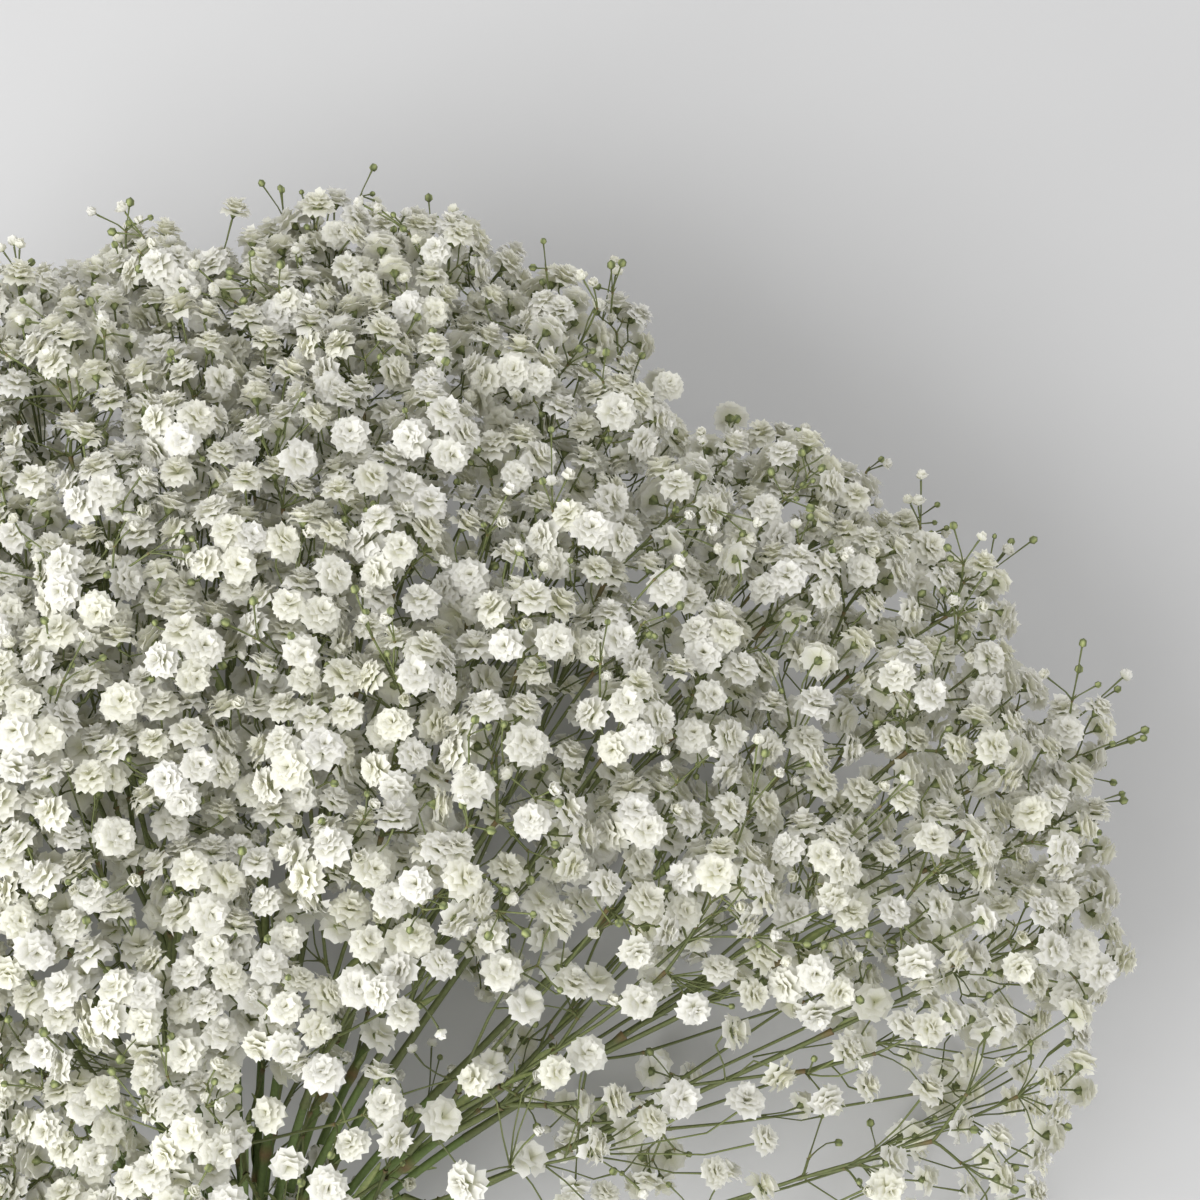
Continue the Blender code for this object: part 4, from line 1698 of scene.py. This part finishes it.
def ribbon(pile, path, flats, widths, thickness):
    """A flattened strand along a path; flats are the ways that its width runs."""
    path, flats = np.array(path), np.array(flats)
    ways = np.gradient(path, axis=0)
    ways /= np.linalg.norm(ways, axis=1)[:, None]
    flats = flats - np.einsum("ij,ij->i", flats, ways)[:, None] * ways
    flats /= np.linalg.norm(flats, axis=1)[:, None]
    thick = np.cross(ways, flats)
    sides = STRAND_SIDES
    angles = 2 * math.pi * np.arange(sides) / sides
    across = np.cos(angles)[:, None] * flats[:, None] * (np.array(widths) / 2)[:, None, None]
    up = np.sin(angles)[:, None] * thick[:, None] * thickness / 2
    points = (path[:, None] + across + up).reshape(-1, 3)
    faces = ring_faces(len(path), sides)
    last = len(points) - sides
    for k in range(1, sides - 1):
        faces += [(0, k + 1, k), (last, last + k, last + k + 1)]
    pile.add(points, np.array(faces), np.ones((len(points), 3)))


print(f"raffia {1000 * STRAND_WIDTH:.1f} mm wide, {TURNS} turns")


# %% The outline round the stems
ANGLE_STEP = 0.02


def tie_reach(angle):
    """How far the stems' common outline reaches from the bunch's axis at an angle."""
    way = np.array((math.cos(angle), math.sin(angle)))
    return (slots @ way).max() + STEM_RADIUS + TIE_GAP


def ring_point(angle, lift, along):
    """A point on the outline round the stems, a little off it."""
    reach = tie_reach(angle) + lift
    rise = tie_reach(angle + ANGLE_STEP) - tie_reach(angle - ANGLE_STEP)
    slope = rise / (2 * ANGLE_STEP)
    right = reach * math.cos(angle) - slope * math.sin(angle)
    near = reach * math.sin(angle) + slope * math.cos(angle)
    return np.array((right, along, near))


print(f"the stems reach {1000 * tie_reach(0.0):.1f} mm to the right at the tie")

# %% Five turns
KNOT_ANGLE = math.radians(70)
tie_rng = np.random.default_rng(SEED + 3)
tie_pile = Pile()
angles = KNOT_ANGLE + np.linspace(0, 2 * math.pi, TURN_POINTS)
widths = STRAND_WIDTH * (1 + 0.12 * np.sin(5 * angles))
for turn in range(TURNS):
    base = (turn - (TURNS - 1) / 2) * TURN_PITCH
    sway = tie_rng.normal(0, 0.0004, 2)
    alongs = base + TURN_PITCH * (angles - KNOT_ANGLE) / (2 * math.pi) - TURN_PITCH / 2
    alongs = alongs + sway[0] * np.sin(angles) + sway[1] * np.sin(2 * angles)
    lifts = 0.0006 + 0.0004 * (turn % 2) + 0.0002 * np.sin(3 * angles)
    path = [ring_point(*place) for place in zip(angles, lifts, alongs)]
    ribbon(tie_pile, path, [(0, 1, 0)] * TURN_POINTS, widths, STRAND_THICKNESS)
print("points of the turns:", tie_pile.count)

# %% The knot
KNOT_POINTS = 33
KNOT_WIDTH, KNOT_THICKNESS = 0.0030, 0.0012
knot = ring_point(KNOT_ANGLE, 0.0022, 0.0)
outward = unit(np.array((math.cos(KNOT_ANGLE), 0.0, math.sin(KNOT_ANGLE))))
sideward = np.array((-outward[2], 0.0, outward[0]))
along_way = np.array((0.0, 1.0, 0.0))
loop = np.linspace(0, 2 * math.pi, KNOT_POINTS)
for lean in (0.6, -0.6):
    across = unit(sideward + lean * along_way)
    path = [knot + across * 0.0034 * math.cos(t) + outward * 0.0021 * math.sin(t) for t in loop]
    flats = [np.cross(across, outward)] * KNOT_POINTS
    ribbon(tie_pile, path, flats, [KNOT_WIDTH] * KNOT_POINTS, KNOT_THICKNESS)
print("the knot stands at", knot.round(4))

# %% The loose ends
END_DROPS = ((1, 0.034), (-1, 0.027))
END_THICKNESS = 0.0007
share = np.linspace(0, 1, 25)
for side, drop in END_DROPS:
    path, flats = [], []
    for t in share:
        aside = sideward * side * (0.004 + 0.016 * t)
        away = outward * (0.004 * math.sin(3.0 * t) - 0.006 * t * t)
        path.append(knot + aside - along_way * drop * t**1.3 + away)
        roll = along_way * math.cos(1.6 * t) * 0.6
        flats.append(unit(roll + sideward * side + outward * math.sin(2 * t)))
    ribbon(tie_pile, path, flats, STRAND_WIDTH * (1 - 0.5 * share**3), END_THICKNESS)
pieces.append(tie_pile.to_piece("raffia", RAFFIA, "tie"))
counts = [len(piece.data.polygons) for piece in pieces]
print("pieces:", len(pieces), "triangles:", sum(counts), "most in one:", max(counts))

# %% [markdown]
# ## The floor
# The photograph's backdrop is a plain light grey. The bunch lies, so the backdrop becomes the
# table it lies on. A shadow catcher would leave the shadow alone, but a real surface also
# sends light back up under the blooms. It is large enough that no low view sees its edge.

# %% A pale floor
FLOOR_HALF = 20.0
FLOOR_DROP = 0.0002
FLOOR_DARK, FLOOR_LIGHT = (0.535, 0.535, 0.538), (0.565, 0.565, 0.568)
corners = [(x * FLOOR_HALF, y * FLOOR_HALF, 0) for x, y in ((-1, -1), (1, -1), (1, 1), (-1, 1))]
floor_mesh = bpy.data.meshes.new("floor")
floor_mesh.from_pydata(corners, [], [(0, 1, 2, 3)])
floor = bpy.data.objects.new("floor", floor_mesh)
floor.location.z = -FLOOR_DROP
bpy.context.scene.collection.objects.link(floor)
print("floor", 2 * FLOOR_HALF, "m wide")


# %% The floor's finish
def floor_material():
    """A matt, light grey surface with faint clouds."""
    material, tree, output = new_material("floor")
    body = tree.nodes.new("ShaderNodeBsdfPrincipled")
    cloud = add_speckle(tree, body, Scale=7.0, Detail=2.0, Smoothest=0.8, Roughest=0.9)
    tone = two_tones(tree, cloud.outputs["Mask"], 0.25, FLOOR_DARK, 0.75, FLOOR_LIGHT)
    link(tree, tone, body.inputs["Base Color"])
    link(tree, body.outputs["BSDF"], output.inputs["Surface"])
    return material


floor_mesh.materials.append(floor_material())
print("floor grey:", FLOOR_DARK[0], "to", FLOOR_LIGHT[0])

# %% [markdown]
# ## Light
# The photograph was taken beside a window: soft light from one side, no hard shadow, and
# bright walls all round. A sun lamp would draw every petal's shadow. A large area lamp to the
# lower left is the window, a larger and weaker one to the upper right the room, and a white
# world the walls. The Standard view keeps the whites as white as the petals are.


# %% Window, room and walls
def area_light(name, place, target, size, power):
    """A soft square lamp that shines from a place to a target."""
    data = bpy.data.lights.new(name, "AREA")
    data.size = size
    data.energy = power
    lamp = bpy.data.objects.new(name, data)
    lamp.location = place
    way = unit(np.array(target) - np.array(place))
    pitch = math.acos(-way[2])
    lamp.rotation_euler = (pitch, 0.0, math.atan2(-way[0], way[1]))
    bpy.context.scene.collection.objects.link(lamp)
    return lamp


area_light("window", (-0.75, -0.50, 1.15), (-0.05, 0.05, 0.1), 1.1, 20.5)
area_light("fill", (1.2, 0.8, 1.7), (0.05, 0.05, 0.1), 1.8, 6.0)
world = bpy.data.worlds.new("room")
world.use_nodes = True
background = world.node_tree.nodes["Background"]
background.inputs["Color"].default_value = (1.0, 1.0, 1.0, 1)
background.inputs["Strength"].default_value = 0.77
bpy.context.scene.world = world
bpy.context.scene.view_settings.view_transform = "Standard"
print("lamps:", len(bpy.data.lights))
